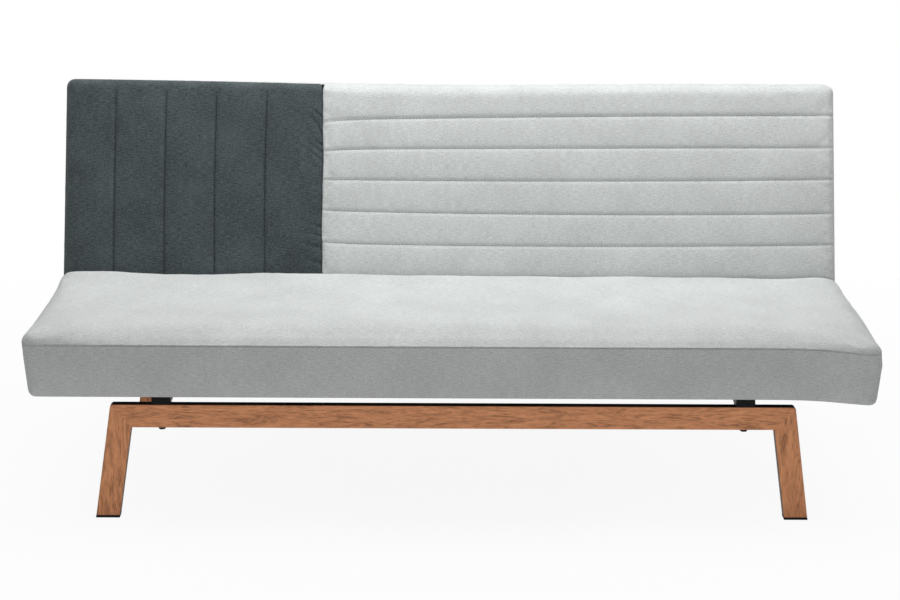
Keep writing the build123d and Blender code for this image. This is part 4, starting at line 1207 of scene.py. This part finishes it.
def line_seat():
    """Staples the dust cloth under the seat, sagging a little between the timbers."""
    low, high = (np.array(corner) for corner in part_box("seat_dust_cover"))
    x, y = (np.linspace(low[axis], high[axis], round((high[axis] - low[axis]) / LINING_CELL) + 1)
            for axis in (0, 1))
    x, y = np.broadcast_arrays(x[:, None], y[None, :])
    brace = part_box("right_cross_rail")[1][0] - BRACE_INSET
    slack = slack_inside(x, y, low, high, DUST_HELD, DUST_REACH)
    slack = slack * grow(np.abs(np.abs(x) - brace) - BRACE_HELD, DUST_REACH)
    under = low[2] + DUST_LIFT
    z = under - LINING_SLACK * slack * (1 + ripple(x - y, DUST_WAVES))
    dust_cloth, _, _ = cloth_piece("seat_dust_cloth", np.stack([x, y, z], axis=-1))
    face_outwards(dust_cloth, lambda centres: np.broadcast_to(-WORLD_UP, centres.shape))
    back_cloth(dust_cloth, LINING_THICKNESS)
    smooth_cloth(dust_cloth)
    spots = rim_spots(low[:2], high[:2], STAPLE_INSET, STAPLE_PITCH)
    staples("seat_staples", "base",
            [((*spot, under), (*run, 0.0), -WORLD_UP) for spot, run in spots])
    dress(dust_cloth, "base", "dust_cloth", lining_cloth(), "seat_dust_cover")


class SOFA_OT_linings(bpy.types.Operator):
    """Staple the lining over the back's rear and the dust cloth under the seat"""
    bl_idname = "sofa.linings"
    bl_label = "Linings"

    def execute(self, context):
        line_back()
        line_seat()
        return {"FINISHED"}


LEG_WIDTH = 0.05


class SOFA_OT_frame_finish(bpy.types.Operator):
    """Give the frame, the hinges and the inner pieces their finishes"""
    bl_idname = "sofa.frame_finish"
    bl_label = "Frame finishes"

    def execute(self, context):
        finishes = sizes("sofa_finishes")
        wood, black = tuple(finishes.wood), tuple(finishes.black)
        low, high = (np.array(corner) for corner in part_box("front_left_leg"))
        splay = math.atan2(high[0] - low[0] - LEG_WIDTH, high[2] - low[2])
        grains = {
            "rail": finish_named("wood_print_level", wood_print, wood, 0.0, False),
            "left": finish_named("wood_print_left", wood_print, wood, splay, True),
            "right": finish_named("wood_print_right", wood_print, wood, -splay, True),
        }
        by_slot = {
            "black_steel": finish_named("black_powder_coat", powder_coat, black, 0.5, 0.2),
            "black_plastic": finish_named("black_moulded_plastic", powder_coat, black, 0.65, 0.12),
            "rubber": finish_named("black_rubber", powder_coat, black, 0.8, 0.15),
            "zinc_steel": zinc_plate(),
            "spring_steel": finish_named("spring_wire", bright_steel, (0.30, 0.30, 0.31), 0.45),
            "timber": finish_named("sawn_pine", sawn_timber, tuple(finishes.pine)),
            "webbing": finish_named("jute_webbing", plain_web, (0.32, 0.25, 0.16), 900.0),
            "dust_cloth": lining_cloth(),
            "pale_fabric": pale_cloth(),
            "dark_fabric": dark_cloth(),
        }
        for part in frame["record"]["subparts"]:
            name, slot = part["node"], part["material_slot"]
            if slot == "wood_finish":
                material = grains[next(key for key in grains if key in name)]
            elif name == "frame_bolts":
                material = by_slot["black_steel"]
            else:
                material = by_slot[slot]
            mesh = NODES[name].data
            mesh.materials.clear()
            mesh.materials.append(material)
        return {"FINISHED"}


WHITE = (1, 1, 1, 1)
FLOOR_SIZE, FLOOR_GREY = 60, (0.85, 0.85, 0.85, 1)
# The distances between which the floor fades to white, and its share of white at the first.
FADE_NEAR, FADE_FAR, FADE_LEAST = 0.3, 2.4, 0.92
WORLD_LIGHT = 0.20
# Each soft box has its size, watts, place and turn in degrees.
SOFT_BOXES = {
    "overhead_soft_box": ((3.4, 1.2), 37, (0, 0.04, 1.95), (0, 0, 0)),
    "front_soft_box": ((5.0, 1.2), 25, (0, -4.5, 0.7), (88, 0, 0)),
}
LENS_MM, SENSOR_MM, CLIP_END = 85.19, 36.0, 100
CAMERA_PLACE = (-0.0863, SEAT_LOW[1] - 4.257, 1.541)
CAMERA_YAW, CAMERA_PITCH, CAMERA_ROLL = -1.015, 13.914, -0.546


def aim(camera, place, yaw, pitch, roll):
    """Stands the camera at a place, turned, tipped down and rolled by angles in degrees."""
    turns = ((yaw, "Z"), (90 - pitch, "X"), (-roll, "Z"))
    camera.matrix_world = Matrix.Translation(place)
    for angle, axis in turns:
        camera.matrix_world = camera.matrix_world @ Matrix.Rotation(math.radians(angle), 4, axis)


def soft_box(name, size, watts, place, turn):
    """A soft rectangular studio light."""
    lamp = bpy.data.lights.new(name, "AREA")
    lamp.shape = "RECTANGLE"
    lamp.size, lamp.size_y = size
    lamp.energy = watts
    stand = bpy.data.objects.new(name, lamp)
    bpy.context.scene.collection.objects.link(stand)
    stand.location = place
    stand.rotation_euler = [math.radians(angle) for angle in turn]


def seen_directly(owner):
    """One for rays that show the thing itself, straight, mirrored or through, else nought."""
    ray = add_node(owner, "ShaderNodeLightPath").outputs
    seen = calculate(owner, "MAXIMUM", ray["Is Camera Ray"], ray["Is Glossy Ray"])
    return calculate(owner, "MAXIMUM", seen, ray["Is Transmission Ray"])


def floor_paper():
    """Pale paper that keeps the sofa's shadow and fades to white away from it."""
    material, shader = new_finish("floor_paper", roughness=0.95, specular=0.1)
    shader.inputs["Base Color"].default_value = FLOOR_GREY
    far = add_node(material, "ShaderNodeVectorMath", {0: solid_place(material)}, operation="LENGTH")
    faded = add_node(material, "ShaderNodeMapRange", {
        "Value": far.outputs["Value"], "From Min": FADE_NEAR, "From Max": FADE_FAR,
        "To Min": FADE_LEAST, "To Max": 1.0})
    share = calculate(material, "MULTIPLY", seen_directly(material), faded.outputs["Result"])
    white = add_node(material, "ShaderNodeEmission", {"Color": WHITE, "Strength": 1.0})
    mix = add_node(material, "ShaderNodeMixShader", {
        0: share, 1: shader.outputs["BSDF"], 2: white.outputs["Emission"]})
    surface = material.node_tree.nodes["Material Output"].inputs["Surface"]
    material.node_tree.links.new(mix.outputs["Shader"], surface)
    return material


def white_world():
    """A world that is seen as white and gives a weak even light."""
    world = bpy.data.worlds.new("studio_white")
    world.use_nodes = True
    glow = world.node_tree.nodes["Background"]
    glow.inputs["Color"].default_value = WHITE
    level = add_node(world, "ShaderNodeMapRange", {
        "Value": seen_directly(world), "To Min": WORLD_LIGHT, "To Max": 1.0})
    world.node_tree.links.new(level.outputs["Result"], glow.inputs["Strength"])
    return world


class SOFA_OT_stage(bpy.types.Operator):
    """Set the pale floor, the soft lights and the camera"""
    bl_idname = "sofa.stage"
    bl_label = "Stage"

    def execute(self, context):
        scene = context.scene
        bpy.ops.object.select_all(action="DESELECT")
        bpy.ops.mesh.primitive_plane_add(size=FLOOR_SIZE, location=(0, 0, CAD_BOX[0][2]))
        floor = context.active_object
        floor.name = "studio_floor"
        bpy.ops.object.transform_apply(location=True)
        floor.data.materials.append(floor_paper())
        scene.world = white_world()
        for name, values in SOFT_BOXES.items():
            soft_box(name, *values)
        lens = bpy.data.cameras.new("studio_camera")
        camera = bpy.data.objects.new("studio_camera", lens)
        scene.collection.objects.link(camera)
        lens.sensor_width = SENSOR_MM
        lens.lens = LENS_MM
        lens.clip_end = CLIP_END
        aim(camera, CAMERA_PLACE, CAMERA_YAW, CAMERA_PITCH, CAMERA_ROLL)
        scene.camera = camera
        scene.view_settings.view_transform = "Standard"
        return {"FINISHED"}


class SOFA_PT_panel(bpy.types.Panel):
    """Shows the sofa bed's sizes, colours and steps in the sidebar"""
    bl_label = "Sofa Bed"
    bl_idname = "SOFA_PT_panel"
    bl_space_type = "VIEW_3D"
    bl_region_type = "UI"
    bl_category = "Sofa Bed"

    def draw(self, context):
        for group in GROUPS:
            for prop in sizes(group).bl_rna.properties:
                if not prop.is_readonly and prop.identifier != "name":
                    self.layout.prop(sizes(group), prop.identifier)
        for step in STEPS:
            self.layout.operator(step.bl_idname)


GROUPS = {"sofa_seat": SeatSizes, "sofa_back": BackSizes, "sofa_finishes": Finishes}
STEPS = (
    SOFA_OT_seat_cushion,
    SOFA_OT_seat_band,
    SOFA_OT_back_panels,
    SOFA_OT_back_band,
    SOFA_OT_quilting_thread,
    SOFA_OT_linings,
    SOFA_OT_frame_finish,
    SOFA_OT_stage,
)


def register():
    """Registers the sizes, the steps and the panel."""
    for name, group in GROUPS.items():
        bpy.utils.register_class(group)
        setattr(bpy.types.Scene, name, PointerProperty(type=group))
    for step in (*STEPS, SOFA_PT_panel):
        bpy.utils.register_class(step)


def unregister():
    """Takes them out again."""
    for step in (SOFA_PT_panel, *reversed(STEPS)):
        bpy.utils.unregister_class(step)
    for name, group in GROUPS.items():
        delattr(bpy.types.Scene, name)
        bpy.utils.unregister_class(group)


def main():
    """Makes every piece in order."""
    register()
    bpy.ops.sofa.seat_cushion()
    bpy.ops.sofa.seat_band()
    bpy.ops.sofa.back_panels()
    bpy.ops.sofa.back_band()
    bpy.ops.sofa.quilting_thread()
    bpy.ops.sofa.linings()
    bpy.ops.sofa.frame_finish()
    bpy.ops.sofa.stage()


if __name__ == "__main__":
    main()
